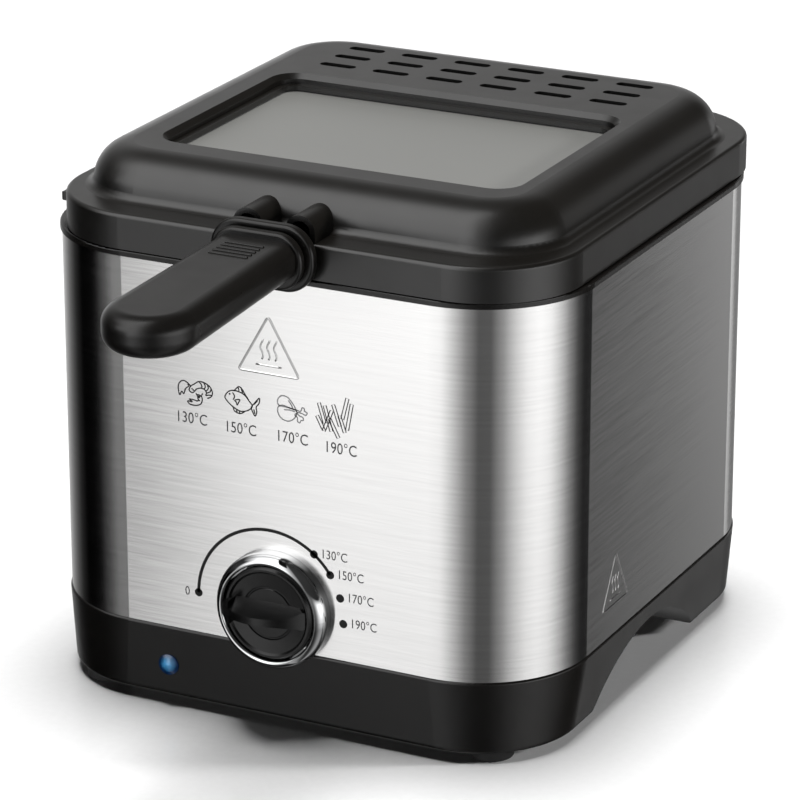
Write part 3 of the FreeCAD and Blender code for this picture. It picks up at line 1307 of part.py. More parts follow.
# ---------------------------------------------------------------- export
NODES = {
    "base_tray": base_tray, "rubber_feet": rubber_feet, "base_screws": base_screws, "tie_rods": tie_rods,
    "steel_sleeve": steel_sleeve, "seam_strip": seam_strip, "top_rim": top_rim, "oil_pot": oil_pot,
    "heater_plate": heater_plate, "heating_element": heating_element, "element_clamps": element_clamps,
    "heat_shield": heat_shield, "shield_clips": shield_clips, "thermal_fuse": thermal_fuse,
    "fuse_clip": fuse_clip, "thermostat_bracket": thermostat_bracket, "thermostat_body": thermostat_body,
    "thermostat_nut": thermostat_nut, "thermostat_screws": thermostat_screws,
    "capillary_bulb": capillary_bulb, "bulb_clips": bulb_clips, "terminal_block": terminal_block,
    "terminal_screws": terminal_screws, "internal_leads": internal_leads, "indicator_lens": indicator_lens,
    "lamp_holder": lamp_holder, "indicator_lamp": indicator_lamp, "knob_bezel": knob_bezel,
    "cord_gland": cord_gland, "gland_nut": gland_nut, "rating_plate": rating_plate,
    "control_knob": control_knob, "control_shaft": control_shaft,
    "basket_mesh": basket_mesh, "basket_rim": basket_rim, "basket_frame": basket_frame,
    "basket_bracket": basket_bracket, "bracket_rivets": bracket_rivets,
    "handle_prongs": handle_prongs, "handle_collar": handle_collar, "handle_grip": handle_grip,
    "grip_cover": grip_cover, "grip_screws": grip_screws,
    "lid_shell": lid_shell, "window_gasket": window_gasket, "window_glass": window_glass,
    "window_retainer": window_retainer, "retainer_screws": retainer_screws,
    "filter_pad": filter_pad, "filter_cover": filter_cover,
}


def export(name, shape):
    if isinstance(shape, list):
        shape = Part.makeCompound(shape)
    shape = shape.copy()
    shape.translate(vec(0, FRAME_SHIFT, 0))
    shape.exportStep("parts/" + name + ".step")
    volume = round(shape.Volume / 1000.0, 2)
    print(name, "solids", len(shape.Solids), "valid", shape.isValid(), "cm3", volume)


os.makedirs("parts", exist_ok=True)
for node_name, make in NODES.items():
    export(node_name, make())
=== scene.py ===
import json
import math

import bpy
from mathutils import Euler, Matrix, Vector


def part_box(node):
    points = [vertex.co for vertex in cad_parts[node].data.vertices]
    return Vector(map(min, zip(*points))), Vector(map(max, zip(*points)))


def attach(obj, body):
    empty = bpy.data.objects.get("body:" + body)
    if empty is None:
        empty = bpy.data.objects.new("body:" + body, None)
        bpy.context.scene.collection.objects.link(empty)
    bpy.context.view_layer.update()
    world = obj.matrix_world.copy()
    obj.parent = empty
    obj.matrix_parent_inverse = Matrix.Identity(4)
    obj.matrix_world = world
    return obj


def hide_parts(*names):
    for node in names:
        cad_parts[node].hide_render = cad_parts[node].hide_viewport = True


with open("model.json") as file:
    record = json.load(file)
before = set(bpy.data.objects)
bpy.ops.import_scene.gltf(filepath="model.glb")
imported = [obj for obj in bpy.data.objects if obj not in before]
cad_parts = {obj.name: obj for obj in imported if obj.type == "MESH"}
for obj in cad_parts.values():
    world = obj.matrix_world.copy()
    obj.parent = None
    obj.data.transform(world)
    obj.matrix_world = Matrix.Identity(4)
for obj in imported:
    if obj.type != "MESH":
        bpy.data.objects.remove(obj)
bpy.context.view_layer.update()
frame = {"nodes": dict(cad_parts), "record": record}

MM = 0.001

# ---------------------------------------------------------------- places, from the CAD model
sleeve_low, sleeve_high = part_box("steel_sleeve")
FRONT_Y = sleeve_low.y
RIGHT_X = sleeve_high.x
BODY_Y = (sleeve_low.y + sleeve_high.y) / 2
bezel_low, bezel_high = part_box("knob_bezel")
KNOB_Z = (bezel_low.z + bezel_high.z) / 2
lens_low, lens_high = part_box("indicator_lens")
LENS = (lens_low + lens_high) / 2
basket_low, basket_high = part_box("basket_mesh")

# ---------------------------------------------------------------- printing
INK_PROUD = 0.05 * MM             # how far the ink stands out of the panel
INK_ROOT = 0.05 * MM              # how far it goes into the panel
DIGIT_SHARE = 0.73                # height of a digit as a share of the font size
TEXT_NARROW = 0.82                # width of a character as a share of the font's own
TEXT_SPACING = 1.04

DIAL_X = -2.4 * MM                # the scale is printed a little to the left of the knob's axis
DIAL_ARC_R = 31.3 * MM
DIAL_ARC = (180.0, 34.5)          # where the arc starts and ends, in degrees from the right
DIAL_ARC_STEPS = 48
DIAL_LINE = 1.3 * MM
DIAL_DOT_R = 1.7 * MM
DIAL_STOPS = ((52.8, "130°C"), (34.5, "150°C"), (16.6, "170°C"), (-2.5, "190°C"))
DIAL_TEXT = 3.8 * MM
DIAL_TEXT_AT = (2.9 * MM, 1.0 * MM)      # from a dot's middle to the left end of its label
DIAL_ZERO_AT = -6.0 * MM                 # from the arc's start to the left end of its label

# The places and the drawings of the icons are in millimetres.
ICON_XS = (-33.6, -13.5, 7.9, 25.7)
ICON_Z = 132.4
ICON_SPREAD = 1.05                # widens the drawings a little
ICON_LINE = 0.5
ICON_DOT_STEPS = 14
ICON_TEXT_AT = ((-42.4, 122.0), (-21.3, 121.3), (0.7, 121.2), (21.2, 120.2))
ICON_TEXT = 4.6 * MM
CHIP_WIDTH = 1.3
CHIP_LINE = 0.42

# ---------------------------------------------------------------- embossed heat signs
FRONT_SIGN = (-2.0 * MM, 145.0 * MM, 26.0 * MM, 22.8 * MM)     # middle, foot, width, height
SIDE_SIGN = (-42.0 * MM, 46.0 * MM, 24.0 * MM, 21.0 * MM)
SIGN_CORNER = 1.6 * MM
SIGN_EDGE_R = 0.45 * MM
SIGN_LINE_R = 0.36 * MM
SIGN_FLAT = 0.4                   # height of a ridge as a share of its width
SIGN_SIDES = 8
# The waves and the bar under them are given in shares of the sign's width and height.
WAVES_AT = (-0.11, 0.0, 0.11)
WAVE_SWAY = 0.022
WAVE_FOOT = 0.24
WAVE_HEIGHT = 0.35
WAVE_STEPS = 16
WAVE_SWAY_STEPS = 13              # steps in one full sway
BAR_WIDTH = 0.42
BAR_AT = 0.14
BAR_STEPS = 6

# ---------------------------------------------------------------- basket's wire cloth
CLOTH_PITCH = 4.3 * MM
CLOTH_WIRE_R = 0.42 * MM
CLOTH_WAVE = 0.45 * MM
CLOTH_FLOOR_WAVE = 0.9            # wave of the floor as a share of the walls' wave
CLOTH_INSET = 1.0 * MM
CLOTH_TOP_GAP = 0.5 * MM
CLOTH_CORNER_R = 28.0 * MM
CLOTH_CORNER_WIRES = 10
CLOTH_FOOT_R = 9.0 * MM
CLOTH_FOOT_STEPS = 5
CLOTH_STUB = 3.0 * MM             # how far a corner's wires run on over the floor
CLOTH_SIDES = 5

# ---------------------------------------------------------------- looks
# Numbers of the Mix node's sockets when it mixes colours.
MIX_SHARE = 0
MIX_FIRST = 6
MIX_SECOND = 7
MIX_RESULT = 2

DARK_INK = (0.006, 0.012)         # grey where the ink covers well, and where it is thin
MID_INK = (0.06, 0.09)
PALE_INK = (0.34, 0.42)
INK_BLUE = 1.02                   # blue of an ink as a share of its grey
LENS_GLOW_AT = Vector((0.3, 0.0, 0.6)) * MM      # from the lens's middle
LENS_GLOW_R = (0.2 * MM, 3.6 * MM)               # full glow up to here, no glow from there

# Moulded plastic, rubber, ceramic and glass: name, dark and light colour, roughness, and what differs
# from the usual grain.
MOULDED = (
    ("base_plastic", (0.0064, 0.0057, 0.0050), (0.0080, 0.0072, 0.0064), (0.20, 0.24),
     {"grain": 1100.0, "depth": 0.006 * MM, "IOR": 1.47}),
    ("lid_plastic", (0.0066, 0.0059, 0.0050), (0.0082, 0.0074, 0.0063), (0.30, 0.34),
     {"depth": 0.008 * MM, "IOR": 1.66}),
    ("handle_plastic", (0.0060, 0.0054, 0.0048), (0.0076, 0.0069, 0.0061), (0.27, 0.32),
     {"grain": 1300.0, "depth": 0.008 * MM, "IOR": 1.48}),
    ("knob_plastic", (0.0055, 0.0055, 0.0055), (0.0075, 0.0075, 0.0075), (0.22, 0.28),
     {"grain": 1500.0, "depth": 0.004 * MM, "IOR": 1.45}),
    ("inner_plastic", (0.45, 0.42, 0.36), (0.52, 0.49, 0.42), (0.40, 0.55), {}),
    ("foot_rubber", (0.010, 0.010, 0.010), (0.018, 0.018, 0.018), (0.70, 0.85),
     {"grain": 700.0, "depth": 0.03 * MM}),
    ("seal_silicone", (0.05, 0.05, 0.052), (0.07, 0.07, 0.072), (0.45, 0.60),
     {"grain": 600.0, "depth": 0.01 * MM}),
    ("lead_insulation", (0.40, 0.36, 0.30), (0.50, 0.45, 0.38), (0.50, 0.65), {"grain": 800.0}),
    ("fuse_ceramic", (0.70, 0.68, 0.64), (0.80, 0.78, 0.74), (0.30, 0.45), {"grain": 500.0}),
    ("lamp_glass", (0.55, 0.60, 0.66), (0.70, 0.74, 0.80), (0.05, 0.12),
     {"grain": 400.0, "depth": 0.01 * MM, "Transmission_Weight": 0.7, "IOR": 1.5}),
)
# Rolled, drawn, plated and cast metal: name, dark and light colour, roughness, and what differs from
# the usual marks.
METALS = (
    ("zinc_steel", (0.52, 0.52, 0.50), (0.66, 0.66, 0.65), (0.28, 0.48), {}),
    ("wire_steel", (0.60, 0.60, 0.59), (0.74, 0.74, 0.73), (0.14, 0.26), {"scale": 500.0}),
    ("bezel_chrome", (0.58, 0.585, 0.59), (0.63, 0.635, 0.64), (0.03, 0.07),
     {"scale": 160.0, "depth": 0.002 * MM}),
    ("plate_aluminium", (0.68, 0.69, 0.70), (0.80, 0.81, 0.82), (0.35, 0.55),
     {"stretch": (1.0, 6.0, 1.0)}),
    ("element_sheath", (0.20, 0.19, 0.18), (0.32, 0.30, 0.28), (0.35, 0.55), {}),
    ("copper_line", (0.72, 0.36, 0.20), (0.86, 0.46, 0.28), (0.20, 0.38), {}),
    ("plate_foil", (0.66, 0.66, 0.67), (0.76, 0.76, 0.77), (0.36, 0.50),
     {"stretch": (1.0, 1.0, 8.0), "scale": 300.0}),
)


# ---------------------------------------------------------------- meshes
class Soup:
    """Vertices and faces of one piece, gathered part by part."""

    def __init__(self):
        self.points = []
        self.faces = []

    def add(self, points, faces):
        """More points, and faces that count from the first of them."""
        first = len(self.points)
        self.points.extend(points)
        self.faces.extend([[first + i for i in face] for face in faces])

    def tube(self, path, normals, radius, sides, closed=False, flat=1.0):
        """A bar along path. flat squeezes it along the normals."""
        count = len(path)
        points = []
        for i, (centre, normal) in enumerate(zip(path, normals)):
            before = path[i - 1] if i or closed else path[i]
            after = path[(i + 1) % count] if i < count - 1 or closed else path[i]
            across = (after - before).normalized().cross(normal).normalized()
            for k in range(sides):
                turn = 2 * math.pi * (k + 0.5) / sides
                points.append(centre + normal * (radius * flat * math.cos(turn))
                              + across * (radius * math.sin(turn)))
        faces = []
        for i in range(count if closed else count - 1):
            a, b = i * sides, (i + 1) % count * sides
            for k in range(sides):
                n = (k + 1) % sides
                faces.append((a + k, a + n, b + n, b + k))
        if not closed:
            faces.append(tuple(reversed(range(sides))))
            faces.append(tuple(range((count - 1) * sides, count * sides)))
        self.add(points, faces)

    def piece(self, name, body, slot, material, smooth=False):
        """Makes the piece, which rides on its body."""
        mesh = bpy.data.meshes.new(name)
        mesh.from_pydata([tuple(p) for p in self.points], [], self.faces)
        mesh.validate()
        mesh.update()
        for polygon in mesh.polygons:
            polygon.use_smooth = smooth
        mesh.materials.append(material)
        piece = bpy.data.objects.new(name, mesh)
        bpy.context.scene.collection.objects.link(piece)
        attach(piece, body)
        return piece


def on_front(u, v, proud=0.0):
    """The point of the front panel at u across and v up, both in metres."""
    return Vector((u, FRONT_Y - proud, v))


def on_right(u, v):
    """The point of the right side at u behind its middle and v up, both in metres."""
    return Vector((RIGHT_X, BODY_Y + u, v))


def ink_line(soup, points, width, closed=False):
    """A printed line through points of the front panel, as a thin closed strip."""
    count = len(points)
    front = []
    for i, here in enumerate(points):
        before = points[i - 1] if i or closed else here
        after = points[(i + 1) % count] if i < count - 1 or closed else here
        along = (Vector(after) - Vector(before)).normalized()
        side = Vector((-along.y, along.x)) * (width / 2)
        front.append((here[0] + side.x, here[1] + side.y))
        front.append((here[0] - side.x, here[1] - side.y))
    raised = [on_front(u, v, INK_PROUD) for u, v in front]
    rooted = [on_front(u, v, -INK_ROOT) for u, v in front]
    shift = len(raised)
    faces = []
    for i in range(count if closed else count - 1):
        a, b = 2 * i, 2 * ((i + 1) % count)
        faces.append((a, b, b + 1, a + 1))
        faces.append((a, shift + a, shift + b, b))
        faces.append((a + 1, b + 1, shift + b + 1, shift + a + 1))
        faces.append((shift + a, shift + a + 1, shift + b + 1, shift + b))
    if not closed:
        last = 2 * (count - 1)
        faces.append((0, 1, shift + 1, shift))
        faces.append((last, shift + last, shift + last + 1, last + 1))
    soup.add(raised + rooted, faces)


def ink_disc(soup, u, v, radius, steps=28):
    """A printed dot of the front panel."""
    turns = [2 * math.pi * i / steps for i in range(steps)]
    rim = [(u + radius * math.cos(t), v + radius * math.sin(t)) for t in turns]
    points = [on_front(*spot, INK_PROUD) for spot in rim] + [on_front(*spot, -INK_ROOT) for spot in rim]
    faces = [tuple(range(steps)), tuple(reversed(range(steps, 2 * steps)))]
    faces += [(i, steps + i, steps + (i + 1) % steps, (i + 1) % steps) for i in range(steps)]
    soup.add(points, faces)


def ink_text(soup, text, height, u, v):
    """Printed characters, their left end at u and their middle at v."""
    curve = bpy.data.curves.new("label", "FONT")
    curve.body = text
    curve.size = height / DIGIT_SHARE
    curve.extrude = (INK_PROUD + INK_ROOT) / 2
    curve.space_character = TEXT_SPACING
    label = bpy.data.objects.new("label", curve)
    bpy.context.scene.collection.objects.link(label)
    bpy.context.view_layer.update()
    shaped = label.evaluated_get(bpy.context.evaluated_depsgraph_get())
    mesh = bpy.data.meshes.new_from_object(shaped)
    middle = (INK_PROUD - INK_ROOT) / 2
    points = [on_front(u + p.co.x * TEXT_NARROW, v + p.co.y - height / 2, middle + p.co.z)
              for p in mesh.vertices]
    soup.add(points, [tuple(f.vertices) for f in mesh.polygons])
    bpy.data.objects.remove(label)
    bpy.data.curves.remove(curve)
    bpy.data.meshes.remove(mesh)


def flowing(points, closed=False, steps=6):
    """A smooth line through a few points: a Catmull-Rom spline."""
    count = len(points)
    line = []
    for i in range(count if closed else count - 1):
        near = range(i - 1, i + 3)
        four = [points[k % count] if closed else points[min(max(k, 0), count - 1)] for k in near]
        for s in range(steps):
            t = s / steps
            line.append(tuple(0.5 * (2 * b + (c - a) * t + (2 * a - 5 * b + 4 * c - d) * t * t
                                     + (3 * b - a - 3 * c + d) * t ** 3)
                              for a, b, c, d in zip(*four)))
    if not closed:
        line.append(tuple(points[-1]))
    return line


def blunted(points, radius, steps=5):
    """A closed polygon with its corners rounded off."""
    line = []
    count = len(points)
    for i, here in enumerate(points):
        here = Vector(here)
        near = (Vector(points[i - 1]) - here).normalized() * radius
        far = (Vector(points[(i + 1) % count]) - here).normalized() * radius
        for s in range(steps + 1):
            t = s / steps
            line.append(here + near * (1 - t) ** 2 + far * t ** 2)
    return line


# ---------------------------------------------------------------- materials
class Graph:
    """Adds nodes to one tree. A socket is given a number, a colour or another node's output."""

    def __init__(self, tree):
        self.tree = tree

    def add(self, kind, sockets=None, **settings):
        """A new node of this kind."""
        node = self.tree.nodes.new(kind)
        for name, value in settings.items():
            setattr(node, name, value)
        for name, value in (sockets or {}).items():
            if isinstance(value, bpy.types.NodeSocket):
                self.tree.links.new(value, node.inputs[name])
            else:
                node.inputs[name].default_value = value
        return node

    def place(self, stretch=(1.0, 1.0, 1.0)):
        """Where on its body the shaded point is, in metres, times stretch."""
        spot = self.add("ShaderNodeTexCoord").outputs["Object"]
        return self.add("ShaderNodeMapping", {"Vector": spot, "Scale": stretch}).outputs[0]

    def maths(self, operation, first, second):
        """The result of one sum or comparison."""
        return self.add("ShaderNodeMath", {0: first, 1: second}, operation=operation).outputs[0]

    def noise(self, scale, detail=2.0, stretch=(1.0, 1.0, 1.0)):
        """Soft cloudy noise, mostly between 0.3 and 0.7."""
        return self.add("ShaderNodeTexNoise", {"Vector": self.place(stretch), "Scale": scale,
                                               "Detail": detail}).outputs[0]

    def spread(self, value, low=0.0, high=1.0, start=0.3, end=0.7):
        """value from start to end, carried over to low to high."""
        return self.add("ShaderNodeMapRange", {"Value": value, "From Min": start, "From Max": end,
                                               "To Min": low, "To Max": high}).outputs[0]

    def mix(self, share, first, second):
        """The colour between first and second at share."""
        first, second = (colour if isinstance(colour, bpy.types.NodeSocket) else (*colour, 1.0)
                         for colour in (first, second))
        sockets = {MIX_SHARE: share, MIX_FIRST: first, MIX_SECOND: second}
        return self.add("ShaderNodeMix", sockets, data_type="RGBA").outputs[MIX_RESULT]

    def relief(self, height, depth):
        """The surface's direction where height, from 0 to 1, is as deep as depth in metres."""
        return self.add("ShaderNodeBump", {"Height": height, "Distance": depth}).outputs[0]


def surface(name, **plain):
    """A new material, its shader's plain values set, and the graph to add to."""
    material = bpy.data.materials.new(name)
    material.use_nodes = True
    shader = material.node_tree.nodes["Principled BSDF"]
    for socket, value in plain.items():
        target = shader.inputs[socket.replace("_", " ")]
        target.default_value = (*value, 1.0) if isinstance(value, tuple) else value
    return material, Graph(material.node_tree), shader


def feed(graph, shader, colour, roughness, normal):
    """Links the three inputs of a shader that vary from place to place."""
    for name, output in (("Base Color", colour), ("Roughness", roughness), ("Normal", normal)):
        graph.tree.links.new(output, shader.inputs[name])


def moulded(name, dark, light, rough, grain=900.0, depth=0.02 * MM, **plain):
    """A moulded surface with a fine spark grain, faint flow marks and marks of handling."""
    material, g, shader = surface(name, **plain)
    flow = g.noise(scale=26.0, detail=3.0, stretch=(1.0, 1.0, 0.5))
    handled = g.noise(scale=75.0, detail=5.0)
    fine = g.noise(scale=grain)
    wide = g.noise(scale=grain / 4.0, detail=1.0)
    colour = g.mix(g.spread(flow), dark, light)
    feed(g, shader, colour, g.spread(handled, *rough), g.relief(g.maths("ADD", fine, wide), depth))
    return material


def worked_metal(name, dark, light, rough, stretch=(1.0, 1.0, 1.0), scale=220.0, depth=0.01 * MM):
    """Bare or plated metal, with marks stretched the way it was worked."""
    material, g, shader = surface(name, Metallic=1.0)
    marks = g.noise(scale, detail=4.0, stretch=stretch)
    stains = g.noise(scale=30.0, detail=4.0)
    colour = g.mix(g.spread(stains), dark, light)
    feed(g, shader, colour, g.spread(marks, *rough), g.relief(marks, depth))
    return material


def brushed_steel(name, dark, light, rough, scratch):
    """Sheet steel brushed around the body, so that its highlights stretch up and down."""
    material, g, shader = surface(name, Metallic=1.0, Anisotropic=1.0, Anisotropic_Rotation=0.25)
    hair = g.noise(scale=1.0, stretch=(45.0, 45.0, 2600.0))
    strand = g.noise(scale=1.0, detail=3.0, stretch=(16.0, 16.0, 700.0))
    cloud = g.noise(scale=9.0)
    streaks = g.spread(g.maths("ADD", hair, strand), start=0.75, end=1.25)
    brushed = g.spread(streaks, *rough, start=0.0, end=1.0)
    uneven = g.maths("ADD", brushed, g.spread(cloud, low=-0.015, high=0.015))
    feed(g, shader, g.mix(streaks, dark, light), uneven, g.relief(streaks, scratch))
    tangent = g.add("ShaderNodeTangent", direction_type="RADIAL", axis="Z").outputs[0]
    g.tree.links.new(tangent, shader.inputs["Tangent"])
    return material


def speckled_coating(name):
    """Dark non-stick coating with small pale specks and a soft sheen."""
    material, g, shader = surface(name, IOR=1.5, Coat_Weight=0.3, Coat_Roughness=0.25)
    cells = g.add("ShaderNodeTexVoronoi", {"Vector": g.place(), "Scale": 620.0}).outputs["Distance"]
    size = g.spread(g.noise(scale=420.0, detail=1.0), low=0.02, high=0.30, start=0.42, end=0.72)
    speck = g.maths("LESS_THAN", cells, size)
    cloud = g.noise(scale=24.0, detail=3.0)
    base = g.mix(g.spread(cloud), (0.012, 0.012, 0.013), (0.022, 0.022, 0.023))
    colour = g.mix(speck, base, (0.20, 0.20, 0.21))
    worn = g.spread(g.noise(scale=60.0, detail=3.0), low=0.30, high=0.42)
    feed(g, shader, colour, worn, g.relief(cells, 0.015 * MM))
    return material


def smoked_glass(name):
    """The lid's window: satin grey glass that lets hardly any light through, with a faint haze."""
    material, g, shader = surface(name, Transmission_Weight=0.12, IOR=1.5)
    haze = g.noise(scale=11.0, stretch=(1.0, 2.0, 1.0))
    ripple = g.noise(scale=40.0)
    colour = g.mix(g.spread(haze), (0.205, 0.205, 0.195), (0.213, 0.213, 0.202))
    feed(g, shader, colour, g.spread(haze, low=0.28, high=0.30), g.relief(ripple, 0.0012 * MM))
    return material


def lit_lens(name):
    """A clear blue pilot lens with small facets and the lamp's glow in its middle."""
    material, g, shader = surface(name, IOR=1.49, Transmission_Weight=0.25, Coat_Weight=0.6,
                                  Coat_Roughness=0.03, Emission_Strength=0.55)
    spot = g.add("ShaderNodeTexCoord").outputs["Object"]
    apart = g.add("ShaderNodeVectorMath", {0: spot, 1: tuple(LENS + LENS_GLOW_AT)},
                  operation="SUBTRACT").outputs[0]
    flat = g.add("ShaderNodeVectorMath", {0: apart, 1: (1.0, 0.0, 1.0)}, operation="MULTIPLY").outputs[0]
    reach = g.add("ShaderNodeVectorMath", {0: flat}, operation="LENGTH").outputs["Value"]
    cells = g.add("ShaderNodeTexVoronoi", {"Vector": g.place(), "Scale": 520.0}, feature="F1").outputs
    facet = g.spread(cells["Color"], low=0.5, high=1.0, start=0.0, end=1.0)
    glow = g.maths("MULTIPLY", g.spread(reach, 1.0, 0.0, *LENS_GLOW_R), facet)
    colour = g.mix(glow, (0.004, 0.022, 0.075), (0.05, 0.34, 0.70))
    worn = g.spread(g.noise(scale=300.0), low=0.08, high=0.16)
    feed(g, shader, colour, worn, g.relief(cells["Distance"], 0.12 * MM))
    shine = g.mix(glow, (0.0, 0.01, 0.04), (0.08, 0.42, 0.80))
    g.tree.links.new(shine, shader.inputs["Emission Color"])
    return material


def open_foam(name):
    """The grease filter: dark reticulated foam."""
    material, g, shader = surface(name, Roughness=0.95)
    cells = g.add("ShaderNodeTexVoronoi", {"Vector": g.place(), "Scale": 700.0}).outputs["Distance"]
    strands = g.spread(cells, low=1.0, high=0.0, start=0.1, end=0.6)
    colour = g.mix(strands, (0.004, 0.004, 0.004), (0.035, 0.033, 0.031))
    dull = g.spread(cells, low=0.8, high=1.0, start=0.0, end=1.0)
    feed(g, shader, colour, dull, g.relief(cells, 0.5 * MM))
    return material


def printed_ink(name, tones):
    """Screen ink: slightly uneven cover on the steel's brush marks."""
    material, g, shader = surface(name, IOR=1.36)
    cover = g.noise(scale=1.0, detail=3.0, stretch=(160.0, 160.0, 2200.0))
    colour = g.mix(g.spread(cover), *((tone, tone, tone * INK_BLUE) for tone in tones))
    feed(g, shader, colour, g.spread(cover, low=0.38, high=0.52), g.relief(cover, 0.008 * MM))
    return material


def looks():
    """One finished material for every slot of the record."""
    finish = {name: moulded(name, *values, **grain) for name, *values, grain in MOULDED}
    finish.update({name: worked_metal(name, *values, **marks) for name, *values, marks in METALS})
    finish["sleeve_steel"] = brushed_steel("sleeve_steel", (0.735, 0.73, 0.725), (0.785, 0.78, 0.775),
                                           (0.14, 0.18), 0.001 * MM)
    finish["pot_coating"] = speckled_coating("pot_coating")
    finish["window_pane"] = smoked_glass("window_pane")
    finish["lens_blue"] = lit_lens("lens_blue")
    finish["filter_foam"] = open_foam("filter_foam")
    return finish


def dress_frame(finish):
    """Gives every CAD node the material of its slot."""
    for part in frame["record"]["subparts"]:
        for slot in frame["nodes"][part["node"]].material_slots:
            slot.material = finish[part["material_slot"]]


# ---------------------------------------------------------------- printing on the front
def dial_print(ink, mid_ink):
    """The scale round the knob: an arc from its end stop, four dots and their temperatures."""
    soup = Soup()
    start, end = DIAL_ARC

    def on_arc(angle):
        turn = math.radians(angle)
        return DIAL_X + DIAL_ARC_R * math.cos(turn), KNOB_Z + DIAL_ARC_R * math.sin(turn)

    angles = [start + (end - start) * i / DIAL_ARC_STEPS for i in range(DIAL_ARC_STEPS + 1)]
    ink_line(soup, [on_arc(angle) for angle in angles], DIAL_LINE)
    for angle in [start] + [stop for stop, _ in DIAL_STOPS]:
        ink_disc(soup, *on_arc(angle), DIAL_DOT_R)
    soup.piece("dial_scale", "housing", "sleeve_steel", ink)
    soup = Soup()
    for angle, text in DIAL_STOPS:
        dot_x, dot_z = on_arc(angle)
        ink_text(soup, text, DIAL_TEXT, dot_x + DIAL_TEXT_AT[0], dot_z + DIAL_TEXT_AT[1])
    ink_text(soup, "0", DIAL_TEXT, DIAL_X - DIAL_ARC_R + DIAL_ZERO_AT, KNOB_Z)
    soup.piece("dial_temperatures", "housing", "sleeve_steel", mid_ink)


# Lines and closed outlines of each drawing, and its dots with their radius, in millimetres from the
# drawing's middle.
SHELLFISH = {
    "open": [[(-0.5, 3.4), (1.5, 4.7), (4.0, 4.5), (6.2, 3.1), (7.0, 1.0), (6.3, -0.7), (4.8, -1.5)],
             [(0.4, 1.5), (2.2, 2.2), (3.8, 1.8), (4.5, 0.7), (4.2, -0.5)],
             [(1.6, 4.6), (2.6, 3.4), (2.6, 2.2)], [(3.4, 4.7), (4.1, 3.2), (3.6, 1.9)],
             [(5.0, 4.1), (5.3, 2.6), (4.4, 1.3)], [(6.4, 2.9), (6.1, 1.4), (4.6, 0.6)],
             [(4.2, -0.5), (5.4, -0.1), (6.7, 0.0)],
             [(-0.5, 3.4), (-2.0, 2.2), (-2.6, 0.6), (-1.2, -0.2), (0.4, 1.5)],
             [(-1.9, 2.3), (-2.8, 3.0), (-3.2, 2.6)], [(0.2, -0.2), (0.9, -1.2), (2.2, -1.0), (3.0, 0.2)],
             [(0.9, -1.6), (1.9, -1.8)], [(0.9, -2.6), (1.8, -3.0)], [(-1.2, 0.9), (-0.6, 1.0)]],
    "closed": [[(-3.0, 3.3), (-4.8, 4.1), (-6.3, 3.3), (-7.1, 1.3), (-6.6, -1.9), (-5.7, -0.4), (-4.8, -1.2),
                (-4.1, 0.9), (-2.7, 2.3)],
               [(0.9, -0.6), (2.6, -1.4), (2.4, -3.8), (0.4, -5.1), (-2.4, -5.0), (-3.3, -3.9), (-1.4, -3.9),
                (-2.6, -3.0), (-0.6, -3.0), (0.9, -3.2), (1.0, -2.0)]],
    "dots": [(-1.4, 1.3, 0.3)],
}
FISH = {
    "open": [[(-3.4, 3.3), (-1.6, 5.3), (-0.3, 5.0), (1.4, 2.5), (2.6, 0.9)],
             [(-3.9, 2.7), (-3.1, 1.3), (-3.7, -0.2)],
             [(-3.6, -3.2), (-3.2, -4.6), (-1.0, -5.3), (0.9, -4.3)], [(-2.4, -4.0), (-2.2, -4.8)],
             [(-1.2, -4.3), (-1.1, -5.1)], [(0.2, -4.4), (0.3, -4.8)], [(-1.6, 5.1), (-1.2, 3.8)],
             [(-0.3, 4.9), (0.2, 3.2)], [(6.3, 1.2), (4.9, -0.6)], [(5.1, -4.4), (4.7, -2.6)]],
    "closed": [[(-7.0, 0.7), (-5.3, 3.0), (-2.4, 3.6), (0.8, 2.6), (2.9, 0.3), (4.1, -1.5), (2.4, -3.4),
                (-0.6, -4.3), (-3.8, -3.0), (-6.3, -0.9)],
               [(4.0, -1.4), (5.4, 0.4), (7.0, 2.2), (6.9, 0.2), (5.7, -1.6), (5.9, -3.4), (5.2, -5.2),
                (4.2, -3.7), (3.7, -2.3)],
               [(-3.0, -0.3), (-1.0, 0.3), (-1.5, -1.0), (-2.1, -2.0), (-2.4, -1.0)]],
    "dots": [(-5.1, 1.9, 0.42)],
}
DRUMSTICKS = {
    "open": [[(-1.6, 3.4), (-0.6, 2.0), (0.2, 0.5)], [(-3.4, -0.6), (-1.0, -0.4), (1.0, -0.7)]],
    "closed": [[(-5.6, 0.9), (-5.9, 3.0), (-4.4, 4.8), (-2.0, 4.6), (-0.2, 2.8), (1.2, 0.4), (-1.4, 0.6),
                (-3.6, 1.1)],
               [(-5.6, 0.3), (-3.4, 0.6), (0.0, 0.2), (1.8, -0.6), (0.9, -3.2), (-1.6, -4.9), (-4.4, -4.3),
                (-5.9, -2.0)],
               [(1.5, 0.2), (3.2, -0.2), (3.9, 1.3), (4.8, 1.2), (4.9, 0.2), (5.9, -0.4), (5.3, -1.4),
                (3.8, -0.9), (1.9, -0.7)],
               [(1.0, -2.0), (2.0, -2.9), (2.0, -4.2), (2.9, -4.8), (3.4, -3.8), (4.4, -3.5), (4.1, -2.4),
                (2.9, -2.1), (1.7, -1.2)]],
    "dots": [],
}
# One line along the middle of each chip, from one end to the other.
CHIPS = ((-6.6, 4.6, -4.2, -3.2), (-7.4, -0.6, -4.6, -6.0), (-4.2, 3.8, -1.4, -6.0),
         (-2.2, -1.0, 1.6, -8.2), (-0.6, 4.8, 2.2, -3.4), (2.0, 0.8, 4.2, -5.6),
         (5.4, 8.2, 3.2, -0.4), (7.2, 6.2, 5.2, -4.4), (-4.6, -6.2, -1.2, 2.2))


